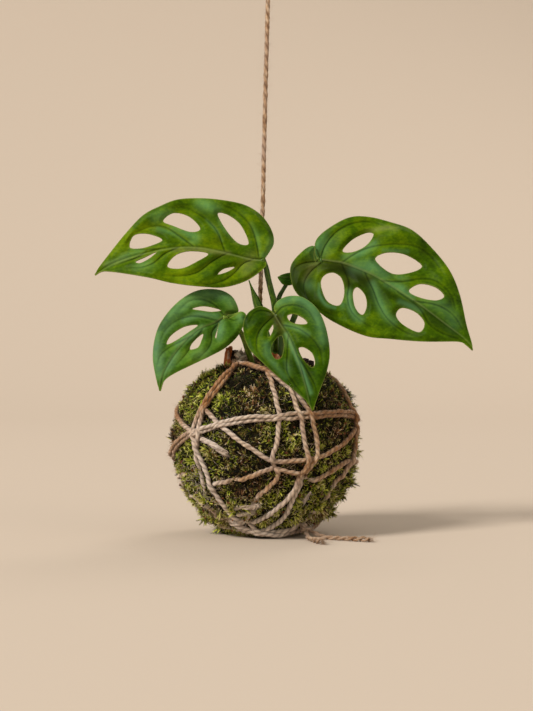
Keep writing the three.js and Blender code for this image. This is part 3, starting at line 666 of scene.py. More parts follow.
# Each strand as [longitude, latitude] points on the ball, in the order in which they were laid
WINDINGS = {
    "slant": [
        [-43, 22], [-38, 19.8], [-30.5, 13.9], [-24, 10], [-18.8, 6.4], [-11.8, 2.9], [-3.5, -1],
        [3.9, -4.3], [11.4, -5.3], [22.6, -4.6], [35, -2.9], [46.5, 0.3], [58.3, 2.8], [66, 5.1],
        [78, 9], [105, 18], [140, 26], [175, 30], [210, 30], [240, 27], [262, 23], [278, 18.5],
        [290, 14.3], [306.3, 9.2], [318.7, 4.6], [326.3, 2.9], [332, 0.8], [336, -0.8],
    ],
    "low_slant": [
        [-35, -19.5], [-23.5, -18], [-16, -17], [-8.8, -14.3], [-1.9, -11.7], [4.8, -9.6],
        [12.4, -10.9], [19.5, -12.3], [26, -15.5], [31.8, -17.5], [40.8, -13.6], [51.6, -9.9],
        [60.9, -7.1], [78, -8], [105, -12], [140, -22], [175, -30], [215, -32], [250, -26],
        [280, -18], [298, -15],
    ],
    "front_drop": [
        [2, 58], [4.3, 48.6], [6.6, 35.9], [7.8, 26.1], [8.8, 18.5], [8.1, 10.2], [6.8, 3.2],
        [4.3, -2.3], [6, -8], [8.2, -13.4], [3.3, -20.3], [-4, -27.2], [-11, -38], [-17, -49],
    ],
    "belt": [
        [-80, -3.2], [-65.5, 1.9], [-51.7, 6.3], [-39.4, 9.2], [-29.3, 11.8], [-19.2, 14.5],
        [-7.1, 16.3], [5.7, 16.7], [19, 17.9], [33.6, 18.1], [52.3, 18.5], [78.2, 16.5], [110, 10],
        [145, 4], [180, -2], [215, -7], [250, -8], [284, -3],
    ],
    "right_edge": [
        [172, 68], [140, 65], [112, 57], [94, 48], [83, 38], [78, 26], [76.5, 14], [76.5, 5],
        [74.5, 0], [67.8, -5], [62.4, -10.5], [59.2, -16], [51, -28], [45, -43], [43, -53],
    ],
    "right_bow_second": [
        [-35, 71], [-14.4, 64.7], [0.4, 58.4], [8.5, 50], [13.5, 43.5], [20.3, 35.8], [25.3, 28],
        [28.8, 20.1], [30.6, 11.4], [32.6, 2.9], [32, -1.6], [28.5, -8], [25.3, -14.6],
        [21.1, -24.3], [18, -34], [14.4, -44.2], [7.6, -50.9], [-13.7, -58.7], [-50, -59],
        [-90, -55], [-125, -38], [-145, -10], [-150, 20], [-142, 48], [-122, 70],
    ],
    "right_bow": [
        [-64, 74], [-36, 69.5], [-15.4, 65.4], [-0.5, 59.2], [8.5, 53], [17.3, 39.5],
        [20.5, 23], [22.9, 10], [24.8, 0.9], [25.9, -5.5], [23.2, -12.9], [19.5, -20.6],
        [15, -28.8], [9.8, -34.8], [-0.4, -42.7], [-13.2, -48.8], [-28, -50], [-42, -46],
        [-60, -36], [-85, -22], [-115, -5], [-140, 18], [-160, 42], [-176, 62], [-192, 71],
    ],
    "left_meridian_second": [
        [-70, 75], [-46, 68], [-36, 60], [-34.6, 43.3], [-38.8, 30.9], [-41.8, 19.8],
        [-43.5, 12.7], [-42.6, 6.6], [-44.8, 1], [-46.1, -3.8], [-46.2, -12.1], [-46, -22.7],
        [-48.5, -35.6], [-47.3, -44.8], [-37.9, -50.8], [-23.5, -53.5], [-9.5, -56.3],
        [9, -58], [28, -56], [43, -53],
    ],
    "left_meridian": [
        [-64, 77], [-42, 70.3], [-35.6, 52.5], [-38.3, 36.8], [-42.7, 23.6], [-46.8, 16],
        [-48.4, 9.4], [-46.7, 3.7], [-42.4, -2.8], [-38.2, -14.3], [-34.8, -25.8],
        [-30.5, -35.6], [-25.7, -44], [-17.6, -49.7], [-8, -54.5], [18, -59], [60, -59],
        [105, -52], [135, -30], [150, 0], [158, 32], [165, 58], [188, 71],
    ],
    "collar": [
        [294, 74], [260, 72], [220, 71], [180, 70], [140, 71], [100, 71], [65, 71], [42, 69],
        [34, 57], [27, 42],
    ],
    "crossing": [[292, 74], [250, 77], [195, 81], [150, 80], [105, 76], [76, 71]],
}
BELT_SPREAD = 0.98  # of its two strands to each side of its middle
BELT_RADIUS = 1.15

# Where moss has grown over a strand: longitude, latitude, half width in degrees, and how deep, in
# shares of SINK
OVERGROWN = [
    [-46, -15, 5, 0.75], [-46, -24, 6, 0.9], [-48, -34, 6, 0.9], [-48, -42, 5, 0.7],
    [-48, -14.5, 8, 1], [-60, -15.5, 8, 1], [-72, -17, 8, 1],
    [-40, -47, 7, 1], [-52, -40, 8, 1], [-64, -33, 8, 1], [-77, -26, 8, 1], [-90, -19, 8, 1],
    [53, -25, 5, 0.9], [48, -36, 8, 1], [44, -46, 7, 1], [43, -53, 6, 1],
    [6, -8, 3.5, 1], [8, -13, 4, 0.55], [3, -20, 4, 0.62], [-3, -26, 4, 0.72], [-20, -17.2, 4.5, 1.4],
    [-7, -31, 6, 1], [-12, -40, 7, 1], [-17, -49, 5, 1], [26, -16, 5, 1], [56, -21, 5, 0.9],
    [-30, -19, 4, 0.55], [-11, -15.5, 3, 0.5], [30, 48, 7, 1],
    [-50, -59, 14, 0.8], [-75, -57, 12, 0.8],
]
SINK = 2.7
HUMP_WIDTH = 2 * round(2.5 / STRAND_STEP) + 1  # steps over which a hump is smoothed


def in_widths(points, spots):
    """Each point's squared distance to each spot on the ball, which is given by its longitude, its
    latitude and its half width in degrees, as a share of the half width squared."""
    centres, _ = pressed_on_ball(on_ball(spots[:, 0], spots[:, 1], 0.0), 0.0)
    reach = np.radians(spots[:, 2]) * BALL_RADIUS
    return ((points[:, None] - centres) ** 2).sum(-1) / reach**2


def overgrown(path):
    """How deep moss covers the strand at each of its points, in shares of SINK."""
    spots = np.array(OVERGROWN)
    return (spots[:, 3] * np.exp(-(in_widths(path, spots) ** 2))).max(1)


def laid_over(stops, lift):
    """A path through [longitude, latitude] points, at this height over the ball, and its normals."""
    stops = np.array(stops, float)
    line = spaced(smooth_line(on_ball(stops[:, 0], stops[:, 1], lift)), STRAND_STEP)
    return pressed_on_ball(line, lift)


def climb(path, cover, laid):
    """How far a strand rises at each of its points to cross those laid before it: a bell of its
    distance to them, smoothed along it, and less where moss covers it and on the crown."""
    near, _ = nearest(path, np.vstack([other for other, *_ in laid]))
    hump = 1.6 * TWINE_RADIUS * bell(near, 0, 2.0 * TWINE_RADIUS)
    kernel = np.hanning(HUMP_WIDTH + 2)[1:-1]
    hump = np.convolve(np.pad(hump, HUMP_WIDTH // 2, "edge"), kernel / kernel.sum(), "valid")
    return hump * ((1 - cover) * (1 - 0.85 * ramp(path[:, 2], 90, 96)))


def laid_strands():
    """Each strand's path, normals, cover and radius. The belt is two strands, which part towards the
    right."""
    laid = []
    for name, stops in WINDINGS.items():
        line, normal = laid_over(stops, WINDING_LIFT)
        cover = overgrown(line)
        sideways = np.cross(normal, unit(np.gradient(line, axis=0)))
        belt = name == "belt"
        for shift in (-BELT_SPREAD, BELT_SPREAD) if belt else (0.0,):
            apart = shift * (0.76 + 0.24 * ramp(line[:, :1], -15, 30))
            path = line + apart * sideways - SINK * cover[:, None] * normal
            if laid:
                path = path + climb(path, cover, laid)[:, None] * normal
            sway = 0.25 * rolling(path, 14.0, 40 + len(laid))
            path = path + sway[:, None] * sideways
            laid.append((path, normal, cover, BELT_RADIUS if belt else TWINE_RADIUS))
    return laid


STRANDS = laid_strands()
UNDER = 6  # how many strands, of those laid first, make up the under piece
BARE_COVER = 0.45  # depth of moss, in shares of SINK, up to which a strand counts as bare
BARE_POINTS = np.vstack([path[cover < BARE_COVER] for path, _, cover, _ in STRANDS])[::2]

# Cut ends and short pieces that show in the moss: how thick, as a share of a strand, and
# [longitude, latitude] points
LOOSE_ENDS = {
    "slant_end": (1.0, [[-41.3, 4.6], [-33.7, 2.7], [-27.8, 0.5], [-22.6, -1.6]]),
    "low_piece": (0.9, [[-23.5, -35.8], [-16.5, -33.9], [-8.4, -34.3], [-4.2, -32.1]]),
    "low_piece_under": (0.9, [[-22.6, -40.4], [-15.3, -39.0], [-8.6, -37.2]]),
    "right_piece": (0.5, [[31, -24], [29, -27.5], [27.5, -31]]),
}
HAIRS_TO_STEP = 0.95  # fibres that stand out of a winding, to each step of its path
LOOSE_LIFT = 2.1  # of a short piece's centre above the ball's mean surface

# Each knot's coils: middle, turns, half width, half height, lean in degrees, and seed
KNOTS = {
    "crown_knot": [
        (CROWN_KNOT, 1.6, 2.6, 1.6, 70, 3),
        (CROWN_KNOT + [1.2, -0.6, 0.2], 1.2, 2.2, 1.2, 10, 5),
    ],
    "string_knot": [(STRING_KNOT, 1.8, 1.6, 1.6, 15, 6)],
    "tie_knot": [
        (TIE_KNOT, 1.6, 2.4, 1.5, 60, 7),
        (TIE_KNOT + [0.6, -0.4, -0.3], 1.1, 2.0, 1.2, 5, 8),
    ],
}
CUT_ENDS = {"crown_knot": [[-13.6, -7.5, 105.4], [-10.8, -6.8, 104.0], [-15.8, -6.2, 104.2]]}


def make_windings():
    """All strands round the ball, in two pieces by order, and their fibres."""
    halves = {"windings_under": STRANDS[:UNDER], "windings_over": STRANDS[UNDER:]}
    for number, (name, strands) in enumerate(halves.items()):
        # Each strand's reference leans outwards and up, so painted shade falls on its lower side
        shapes = [
            strand(path, normal + LIT_SIDE_WAY, radius, seed=50 + 9 * number + place)
            for place, (path, normal, _, radius) in enumerate(strands)
        ]
        put_twine(name, shapes, floor=0.15, stands_for=["twine_wrap"])
    shapes = [
        hairs_on(path, int(len(path) * HAIRS_TO_STEP), reach=2.7, seed=80 + number)
        for number, (path, *_) in enumerate(STRANDS)
    ]
    put_twine("winding_fibres", shapes)


def make_loose_ends():
    """Short lengths of strand on the moss that swell and fray at their ends."""
    shapes = []
    for number, (thick, stops) in enumerate(LOOSE_ENDS.values()):
        line, normal = laid_over(stops, LOOSE_LIFT)
        spread = thick * TWINE_RADIUS * (0.9 + 0.7 * ramp(np.linspace(0, 1, len(line)), 0.3, 1.0))
        # The short pieces too get painted shade on their lower side
        shapes += [
            strand(line, normal + LIT_SIDE_WAY, 0.8 * thick * TWINE_RADIUS, seed=200 + number),
            bundle(line, normal, 30, spread, seed=205 + number, width=0.2),
            tuft(line[-1], line[-1] - line[-5], 40, reach=2.6, seed=210 + number),
            hairs_on(line, 30, reach=2.4, seed=220 + number),
        ]
    put_twine("loose_ends", shapes)


def make_knots():
    """The knots, each as one or two coils of strand, with fibres and frayed cut ends."""
    for number, (name, coils) in enumerate(KNOTS.items()):
        middle = coils[0][0]
        shapes = [knot_strand(*coil) for coil in coils]
        shapes.append(tuft(middle, [-0.3, -0.6, 1.0], 40, reach=4.2, seed=230 + number, width=0.07))
        for place, tip in enumerate(CUT_ENDS.get(name, [])):
            line = spaced(np.array([middle, tip]), STRAND_STEP)
            spread = np.linspace(0.6, 1.3, len(line))
            shapes.append(bundle(line, [0.2, 1.0, 0.1], 22, spread, seed=240 + place))
            shapes.append(tuft(line[-1], line[-1] - line[0], 60, reach=2.4, seed=250 + place, width=0.1))
        put_twine(name + "_coils", shapes, floor=0.3, stands_for=[name])


make_windings()
make_loose_ends()
make_knots()


# ---- moss

# Patches of moss that the photograph shows: longitude, latitude, half width in degrees, green (1) or dry
# brown (0), and bright (1) or dark (0). The dark patches high in front, under the leaves, paint their
# shade.
PATCHES = [
    [-57, 44, 15, 0.95, 0.5], [-40, 52, 12, 0.9, 0.15], [-62, 25, 13, 0.8, 0.5], [-80, 3, 9, 0.15, 0.2],
    [-54, -2, 12, 1.0, 0.9], [-54, -17, 8, 0.5, 0.35], [-20, 47, 12, 0.75, 0.12], [-17, 39, 6, 0.1, 0.45],
    [-3, 39, 6, 0.2, 0.4], [-7, 25, 10, 0.25, 0.22], [-31, 28, 10, 0.95, 0.35], [-16, 16, 10, 0.4, 0.04],
    [-20, -5, 10, 0.45, 0.0], [-19, -13, 7, 0.3, 0.4], [-12, -18, 9, 0.3, 0.12], [-4, 1, 6, 0.5, 0.1],
    [4, 8, 7, 0.9, 0.85], [14, 5, 6, 0.75, 0.25], [-6, -23, 9, 0.1, 0.4], [5, -30, 8, 1.0, 0.85],
    [-52, -32, 12, 0.6, 0.35], [13, -46, 12, 1.0, 0.95], [42, -28, 12, 0.85, 0.65], [62, -20, 12, 0.7, 0.5],
    [48, 10, 9, 0.25, 0.2], [48, 34, 13, 0.45, 0.2], [68, 44, 12, 0.75, 0.4], [82, -8, 9, 0.85, 0.65],
    [-32, -48, 12, 0.55, 0.8], [12, 25, 7, 0.7, 0.3], [3, -12, 6, 0.4, 0.2], [56, -50, 10, 0.25, 0.6],
    [30, 5, 6, 0.7, 0.5], [-11, 52, 9, 0.5, 0.0], [-50, 36, 7, 0.65, 0.25], [-12, 8, 5, 0.5, 0.5],
    [18, -6, 6, 0.1, 0.75], [-30, 2, 6, 0.45, 0.5], [-61, -24, 8, 0.75, 0.7], [34, -22, 7, 0.6, 0.7],
    [-36, -32, 8, 0.4, 0.7], [6, -41, 8, 0.9, 0.85], [31, -42, 9, 0.55, 0.7], [-5, -42, 8, 0.6, 0.85],
    [-8, 62, 12, 0.4, 0.0], [44, 46, 10, 0.4, 0.05], [-19, 57, 9, 0.4, 0.0],
]
PLAIN_MOSS = (0.25, 0.78, 0.5)  # weight, green and bright of moss away from all patches


def moss_colouring(points):
    """How green and how bright the moss is at each point: the nearby patches, weighed by nearness,
    over rolling noise, and brighter near the ground, which paints light on the ball's shaded underside."""
    places = np.array(PATCHES)
    weight = np.exp(-in_widths(points, places))
    plain, plain_green, plain_bright = PLAIN_MOSS
    total = weight.sum(1) + plain
    green = (weight @ places[:, 3] + plain * plain_green) / total
    bright = (weight @ places[:, 4] + plain * plain_bright) / total
    green += 0.2 * rolling(points, 13.0, 60) + 0.14 * rolling(points, 5.0, 61)
    bright += 0.2 * rolling(points, 10.0, 62) + 0.2 * rolling(points, 4.0, 63)
    # Painted light: the moss low on the ball, which lies in shade, is brighter
    bright += 0.16 * (1 - ramp(points[:, 2], 6, 32))
    return np.clip(green, 0, 1), np.clip(bright, 0, 1)


def moss_finish():
    """Moss from near black, painted shade in its depths, over olive to yellow green, and brown where it is
    dry.
    """
    make = Finish("moss", Roughness=0.75, Specular_IOR_Level=0.25)
    grain = make.noise(900.0, 2.0)
    tone = (make.mark("bright") + grain * 0.3 - 0.15).clipped()
    fresh = make.tint(
        tone,
        (0.0, (10, 15, 3)),
        (0.26, (58, 72, 10)),
        (0.52, (128, 146, 20)),
        (0.78, (178, 188, 42)),
        (1.0, (220, 220, 104)),
    )
    dead = make.tint(
        tone,
        (0.0, (14, 9, 5)),
        (0.3, (90, 57, 28)),
        (0.62, (158, 112, 70)),
        (1.0, (232, 210, 182)),
    )
    return make.wear(Base_Color=make.blend(dead, fresh, make.mark("green")))


def crumbly_finish(name, scale, depth, *stops):
    """Rough and dark, in tones from its pits to its grains: the moss's matted bed, and soil."""
    make = Finish(name, Roughness=0.95, Specular_IOR_Level=0.1)
    grain = make.noise(scale, 5.0, 0.7)
    return make.wear(Base_Color=make.tint(grain, *stops), Normal=make.relief(grain, depth))


# The bed's near-black tones paint the shade deep under the shoots
MOSS_BED = crumbly_finish(
    "moss_bed", 420.0, 0.0015,
    (0.3, (8, 6, 4)), (0.5, (24, 19, 10)), (0.62, (44, 38, 16)), (0.75, (80, 60, 36)),
)
SOIL = crumbly_finish(
    "soil", 520.0, 0.0008,
    (0.32, (22, 15, 10)), (0.5, (46, 32, 20)), (0.64, (76, 54, 34)), (0.78, (116, 86, 56)),
)
MOSS = moss_finish()


def random_on_ball(draw, count):
    """Random places on the ball's skin, and their normals."""
    return pressed_on_ball(draw.normal(size=(count, 3)) * 50 + [0, 0, BALL_MIDDLE], 0.0)


# Tufts that stand out at the ball's outline in front: longitude and latitude
OUTLINE_TUFTS = np.array([
    [-90, 8], [-88, 2], [-90, 41], [-90, -50], [-85, -62], [90, 3], [90, 33], [88, 42], [88, -44],
    [93, 10], [94, -3], [92, -12], [91, -22], [89, -32], [91, 22], [98, 50], [98, 38], [96, 28],
    [-66, 70],
])
OTHER_TUFTS = 90
TUFT_WIDTH = 3.2
BED_GRID = 190, 380  # rows up the mat and columns round it
FURROW = 0.9  # depth of the moss's furrow along a strand
CLEAR_OF_TWINE = 1.5  # least distance from a strand's middle at which moss grows


def tuft_places():
    """Where single tufts stand out of the moss, and how far, in millimetres."""
    draw = np.random.default_rng(66)
    others, _ = random_on_ball(draw, OTHER_TUFTS)
    turn, rise = OUTLINE_TUFTS.T
    height = 1.3 + 1.1 * (rise < 60) + 1.0 * ramp(turn * rise, 900, 1800)
    heights = np.concatenate([draw.uniform(0.6, 2.0, OTHER_TUFTS), height])
    return np.vstack([others, on_ball(turn, rise, 0.0)]), heights


TUFTS, TUFT_RISE = tuft_places()


def off_twine(place):
    """How far each place is from the nearest bare strand."""
    return nearest(place, BARE_POINTS)[0]


def moss_height(place):
    """How far the moss's mat swells above its mean surface: rolling bumps and single tufts, pressed
    flat near the ground, and a furrow along each strand; and the tufts' own share."""
    bump = 0.8 * rolling(place, 13.0, 64) + 0.55 * rolling(place, 5.0, 65)
    span = ((place[:, None] - TUFTS) ** 2).sum(-1)
    tuft_share = (TUFT_RISE * np.exp(-span / TUFT_WIDTH**2)).sum(1)
    free = 0.3 + 0.7 * ramp(place[:, 2], 4, 14)
    return free * (bump + tuft_share) - FURROW * bell(off_twine(place), 0, 2.2), tuft_share


def make_moss_bed():
    """The mat itself: the ball's skin with its bumps, open at the top and flat below."""
    rows, columns = BED_GRID
    latitude = np.linspace(-89.9, 89.9, rows)
    longitude = 360 * np.arange(columns) / columns
    place = on_ball(longitude[None], latitude[:, None], 0.0).reshape(-1, 3)
    place, normal = pressed_on_ball(place, -0.8)
    rise, _ = moss_height(place)
    place = place + (rise + 0.25 * rolling(place, 2.2, 67))[:, None] * normal
    inwards = OPENING_RADIUS + 2.5 - np.hypot(place[:, 0], place[:, 1])
    dip = ramp(inwards, 0.0, 4.0) * (place[:, 2] > CROWN_HEIGHT)
    place[:, 2] = np.maximum(place[:, 2] - 3.0 * dip, 0.0)
    points, faces, _ = capped_tube(place.reshape(rows, columns, 3))
    put("moss_bed", points, faces, MOSS_BED, stands_for=["moss_cover"])


def scattered(count, seed):
    """Random places on the ball's skin with their normals, none in the opening or under the flat spot."""
    place, normal = random_on_ball(np.random.default_rng(seed), count)
    crown = (place[:, 2] > CROWN_HEIGHT) & (np.hypot(place[:, 0], place[:, 1]) < OPENING_RADIUS - 1.5)
    keep = ~crown & (place[:, 2] > 0.6)
    return place[keep], normal[keep]


SHOOTS = 99000
SHOOT_LENGTH = 2.5
SECTORS = 8
LEAFLET_PAIRS = 5


def shoot_pattern():
    """One shoot in its own frame, as (along, across, up) shares of its length and width: a narrow
    stem, and five pairs of cupped leaflets that lean forward and grow shorter towards the tip."""
    points = [[0, -0.14, 0], [0, 0.14, 0], [1, 0, 0.02]]
    faces = [[0, 1, 2]]
    for pair in range(LEAFLET_PAIRS):
        at = 0.14 + 0.18 * pair
        wide = 1.0 - 0.5 * (pair / (LEAFLET_PAIRS - 1)) ** 1.5
        for side in (-1, 1):
            start = len(points)
            points += [
                [at - 0.1, 0, 0],
                [at + 0.1, 0, 0.05],
                [at + 0.24, side * wide, 0.3 + 0.12 * (pair % 2)],
            ]
            faces.append([start, start + 1, start + 2] if side > 0 else [start, start + 2, start + 1])
    return np.array(points, float), np.array(faces)


def shoots(place, normal, seed, size):
    """A shoot at each place. It leaves the ball at a slant, in a direction that it shares with its
    neighbours, and curls over along its length."""
    draw = np.random.default_rng(seed)
    count = len(place)
    pattern, faces = shoot_pattern()
    lie = np.stack([rolling(place, 9.0, 70 + axis) for axis in range(3)], axis=-1)
    lie = lie + draw.normal(0, 0.8, (count, 3)) + [0, 0, 0.2]
    lie = unit(lie - (lie * normal).sum(1, keepdims=True) * normal)
    slant = np.radians(draw.uniform(15, 78, count))[:, None]
    ahead = np.cos(slant) * lie + np.sin(slant) * normal
    across = unit(np.cross(ahead, normal))
    roll = draw.uniform(-0.8, 0.8, (count, 1))
    over = np.cross(across, ahead)
    across, over = np.cos(roll) * across + np.sin(roll) * over, np.cos(roll) * over - np.sin(roll) * across
    long = (size * draw.uniform(0.5, 1.3, count))[:, None, None]
    wide = long * draw.uniform(0.11, 0.23, count)[:, None, None]
    bow = draw.uniform(-0.75, 0.1, count)[:, None, None] * long
    t = pattern[:, 0][None, :, None]
    points = place[:, None] - 0.5 * normal[:, None]
    points = points + long * t * ahead[:, None] + bow * t**2 * over[:, None]
    out = pattern[:, 1][None, :, None] * across[:, None] + pattern[:, 2][None, :, None] * over[:, None]
    points = points + wide * out
    return points.reshape(-1, 3), repeated(faces, count, len(pattern))


def make_moss():
    """The shoots, in pieces of one region of the ball each, by longitude."""
    place, normal = scattered(SHOOTS, 90)
    near = off_twine(place)
    keep = near > CLEAR_OF_TWINE
    place, normal, near = place[keep], normal[keep], near[keep]
    rise, tuft_share = moss_height(place)
    place = place + (rise - 0.8)[:, None] * normal
    green, bright = moss_colouring(place)
    room = 0.55 + 0.45 * ramp(near, CLEAR_OF_TWINE, 4.5)
    size = SHOOT_LENGTH * room * (0.95 + 0.25 * rolling(place, 7.0, 74))
    size *= 1 + 0.22 * tuft_share
    draw = np.random.default_rng(91)
    bright = np.clip(bright + (0.15 + 0.4 * bright) * draw.normal(0, 1, len(bright)), 0, 1)
    green = np.clip(green * 1.16 + draw.normal(0, 0.26, len(green)) - 0.06, 0, 1)
    turn = np.degrees(np.arctan2(place[:, 0], -place[:, 1]))
    sector = ((turn + 180 + 180 / SECTORS) // (360 / SECTORS)) % SECTORS
    tip = shoot_pattern()[0][:, 0]
    for number in range(SECTORS):
        mine = sector == number
        points, faces = shoots(place[mine], normal[mine], 92 + number, size[mine])
        points[:, 2] = np.maximum(points[:, 2], FLOOR_GAP)
        # Each shoot is darker at its foot and lighter at its tip: painted shade deep in the moss and painted
        # light on the tips
        shade = np.clip(bright[mine][:, None] * (0.13 + 1.25 * tip), 0, 1).ravel()
        marks = {"bright": shade, "green": np.repeat(green[mine], len(tip))}
        put(f"moss_shoots_{number + 1}", points, [faces], MOSS, marks=marks)


make_moss_bed()
make_moss()


# ---- soil and litter


def crumb_pattern():
    """A lump with twenty faces, as the corners of an icosahedron."""
    golden = (1 + 5**0.5) / 2
    flat = np.array([[-1, golden, 0], [1, golden, 0], [-1, -golden, 0], [1, -golden, 0]])
    points = np.vstack([np.roll(flat, turn, 1) for turn in range(3)])
    faces = [
        [0, 11, 5], [0, 5, 1], [0, 1, 7], [0, 7, 10], [0, 10, 11], [1, 5, 9], [5, 11, 4], [11, 10, 2],
        [10, 7, 6], [7, 1, 8], [3, 9, 4], [3, 4, 2], [3, 2, 6], [3, 6, 8], [3, 8, 9], [4, 9, 5], [2, 4, 11],
        [6, 2, 10], [8, 6, 7], [9, 8, 1],
    ]
    return unit(points), np.array(faces)


def crumbs(places, size, seed):
    """Irregular lumps: the pattern with each corner drawn in or out, stretched its own way."""
    draw = np.random.default_rng(seed)
    pattern, faces = crumb_pattern()
    count = len(places)
    shape = pattern * draw.uniform(0.6, 1.25, (count, len(pattern), 1))
    stretch = draw.uniform(0.5, 1.3, (count, 1, 3))
    shape = shape * stretch * (size * draw.uniform(0.5, 1.5, count))[:, None, None]
    return (places[:, None] + shape).reshape(-1, 3), repeated(faces, count, len(pattern))


def bark_finish(name, dark, middle, light, edge):
    """Grainy dry bark or sheath, in four tones from its pits to its edges."""
    make = Finish(name, Roughness=0.8, Specular_IOR_Level=0.2)
    grain = make.noise(330.0, 5.0, 0.7, (1.0, 1.0, 0.45))
    colour = make.tint(grain, (0.3, dark), (0.5, middle), (0.66, light), (0.8, edge))
    return make.wear(Base_Color=colour, Normal=make.relief(grain, 0.0006, 0.9))


BARK = bark_finish("bark", (44, 25, 15), (98, 58, 33), (146, 94, 58), (186, 140, 98))
DARK_BARK = bark_finish("dark_bark", (14, 9, 7), (36, 24, 18), (66, 46, 34), (110, 84, 62))
SHEATH = bark_finish("dry_sheath", (66, 30, 14), (176, 98, 50), (216, 160, 124), (240, 214, 198))
# A pale copy of the sheath's finish, for the lump that paints a highlight on the curl
SHEATH_HIGHLIGHT = bark_finish("sheath_highlight", (130, 84, 62), (190, 150, 126), (222, 194, 176), (242, 226, 214))


# Soil between the stems: how high it lies at these distances from the middle
SOIL_OUT = [0, 6, 12, 17.4, 19]
SOIL_HEIGHT = [98.9, 98.5, 97.2, 95.0, 97.4]
SOIL_CRUMBS = 900
BARK_BITS = 420
STRAWS = 1700
LOW_LEFT_STRAWS = 150

# Dark chips and lumps of bark at the crown, some of which fill the dark gaps round the curl as
# painted shade, and bits of dry sheath, one of them pale as a painted highlight on the curl: middle,
# and half lengths
DARK_CHIPS = [
    [-17.2, -3.2, 105.5, 2.3, 1.2, 0.9], [-17.8, -3.2, 102.4, 2.4, 1.4, 3.2],
    [-18.7, -6.9, 101.2, 1.3, 0.7, 2.0], [-18.6, -3.4, 104.3, 1.5, 0.9, 2.0],
    [-18.6, 1.6, 99.9, 2.4, 2.2, 1.8], [23.0, 1.5, 99.2, 3.0, 2.6, 3.4],
    [26.2, 0.5, 97.8, 2.8, 2.4, 3.4], [-8.2, -5.0, 100.2, 1.6, 1.2, 1.5],
    [20.2, -2.0, 97.6, 2.2, 2.2, 1.8],
]
SHEATH_BITS = [
    [-21.6, -6.6, 106.3, 1.5, 0.7, 1.5], [-11.2, -6.4, 105.2, 0.9, 0.8, 1.6],
    [-16.6, -6.6, 99.6, 1.2, 0.8, 0.9], [3.2, -5.2, 98.4, 1.8, 1.0, 1.2],
]
SHEATH_HIGHLIGHT_BIT = [[-20.9, -7.0, 103.4, 1.2, 0.5, 3.0]]

CURL_ROUTE = [[-20.6, -4.2, 96.5], [-20.9, -4.6, 101], [-20.4, -4.8, 108.3]]
CURL_TURN = (-2.2, 1.9)  # how far the curl goes round its line, in radians
SLEEVE_FOOT = np.array([5.9, 2.4, 98.6])
SLEEVE_ROWS = 34
SLEEVE_COLUMNS = 36


def make_soil():
    """Crumbs over the crown between the stems, and the same finish on the soil ball."""
    draw = np.random.default_rng(100)
    out = SOIL_OUT[-1] * np.sqrt(draw.uniform(0, 1, SOIL_CRUMBS))
    turn = draw.uniform(0, 2 * np.pi, SOIL_CRUMBS)
    height = np.interp(out, SOIL_OUT, SOIL_HEIGHT) + draw.uniform(-0.4, 0.5, SOIL_CRUMBS)
    places = np.stack([out * np.cos(turn), out * np.sin(turn), height], axis=-1)
    points, faces = crumbs(places, size=0.85, seed=101)
    put("soil_crumbs", points, [faces], SOIL, flat=True)
    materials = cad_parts["soil_ball"].data.materials
    materials.clear()
    materials.append(SOIL)


def make_bark_bits():
    """Bits of bark and dead leaf caught in the moss."""
    place, normal = scattered(BARK_BITS, 110)
    free = off_twine(place) > 2.4
    points, faces = crumbs(place[free] + normal[free], size=0.65, seed=111)
    points[:, 2] = np.maximum(points[:, 2], FLOOR_GAP)
    put("bark_bits", points, [faces], BARK, flat=True)


def make_straws():
    """Pale fibres caught in the moss, more of them low on the left."""
    place, normal = scattered(STRAWS, 112)
    draw = np.random.default_rng(113)
    turn, rise = draw.normal(-47, 6, LOW_LEFT_STRAWS), draw.uniform(-46, -8, LOW_LEFT_STRAWS)
    more, more_normal = pressed_on_ball(on_ball(turn, rise, 0.0), 0.6)
    place, normal = np.vstack([place, more]), np.vstack([normal, more_normal])
    ways = unit(unit(np.cross(normal, draw.normal(size=place.shape))) + 0.35 * normal)
    straws = fibres(place + 1.4 * normal, ways, reach=3.6, seed=114, width=0.1)
    put_twine("moss_straws", [straws])


def put_lumps(name, lumps, finish, seed, stands_for=()):
    """Rough lumps as one piece."""
    shapes = []
    for number, lump in enumerate(np.array(lumps)):
        points, faces = crumbs(np.zeros((1, 3)), size=1.0, seed=seed + number)
        shape = unit(points) * lump[3:] + lump[:3]
        shapes.append((shape, [faces], [np.zeros((len(faces), 3, 2))], np.zeros(len(points))))
    points, faces, corners, _ = gather(shapes)
    put(name, points, faces, finish, corners, flat=True, stands_for=stands_for)


def sheet(name, surface, finish, thick, stands_for=(), closed=False):
    """A thin sheet from a surface on a grid of rows and columns, whose last column joins the first
    where it is closed."""
    rows, columns = surface.shape[:2]
    quads, row4, column4 = grid(rows, columns)
    if not closed:
        inside_grid = (column4 < columns).all(1)
        quads, row4, column4 = quads[inside_grid], row4[inside_grid], column4[inside_grid]
    lay = np.stack([row4 / (rows - 1), column4 / columns], -1)
    piece = put(name, surface.reshape(-1, 3), [quads], finish, [lay], stands_for=stands_for)
    thicken(piece, thick)


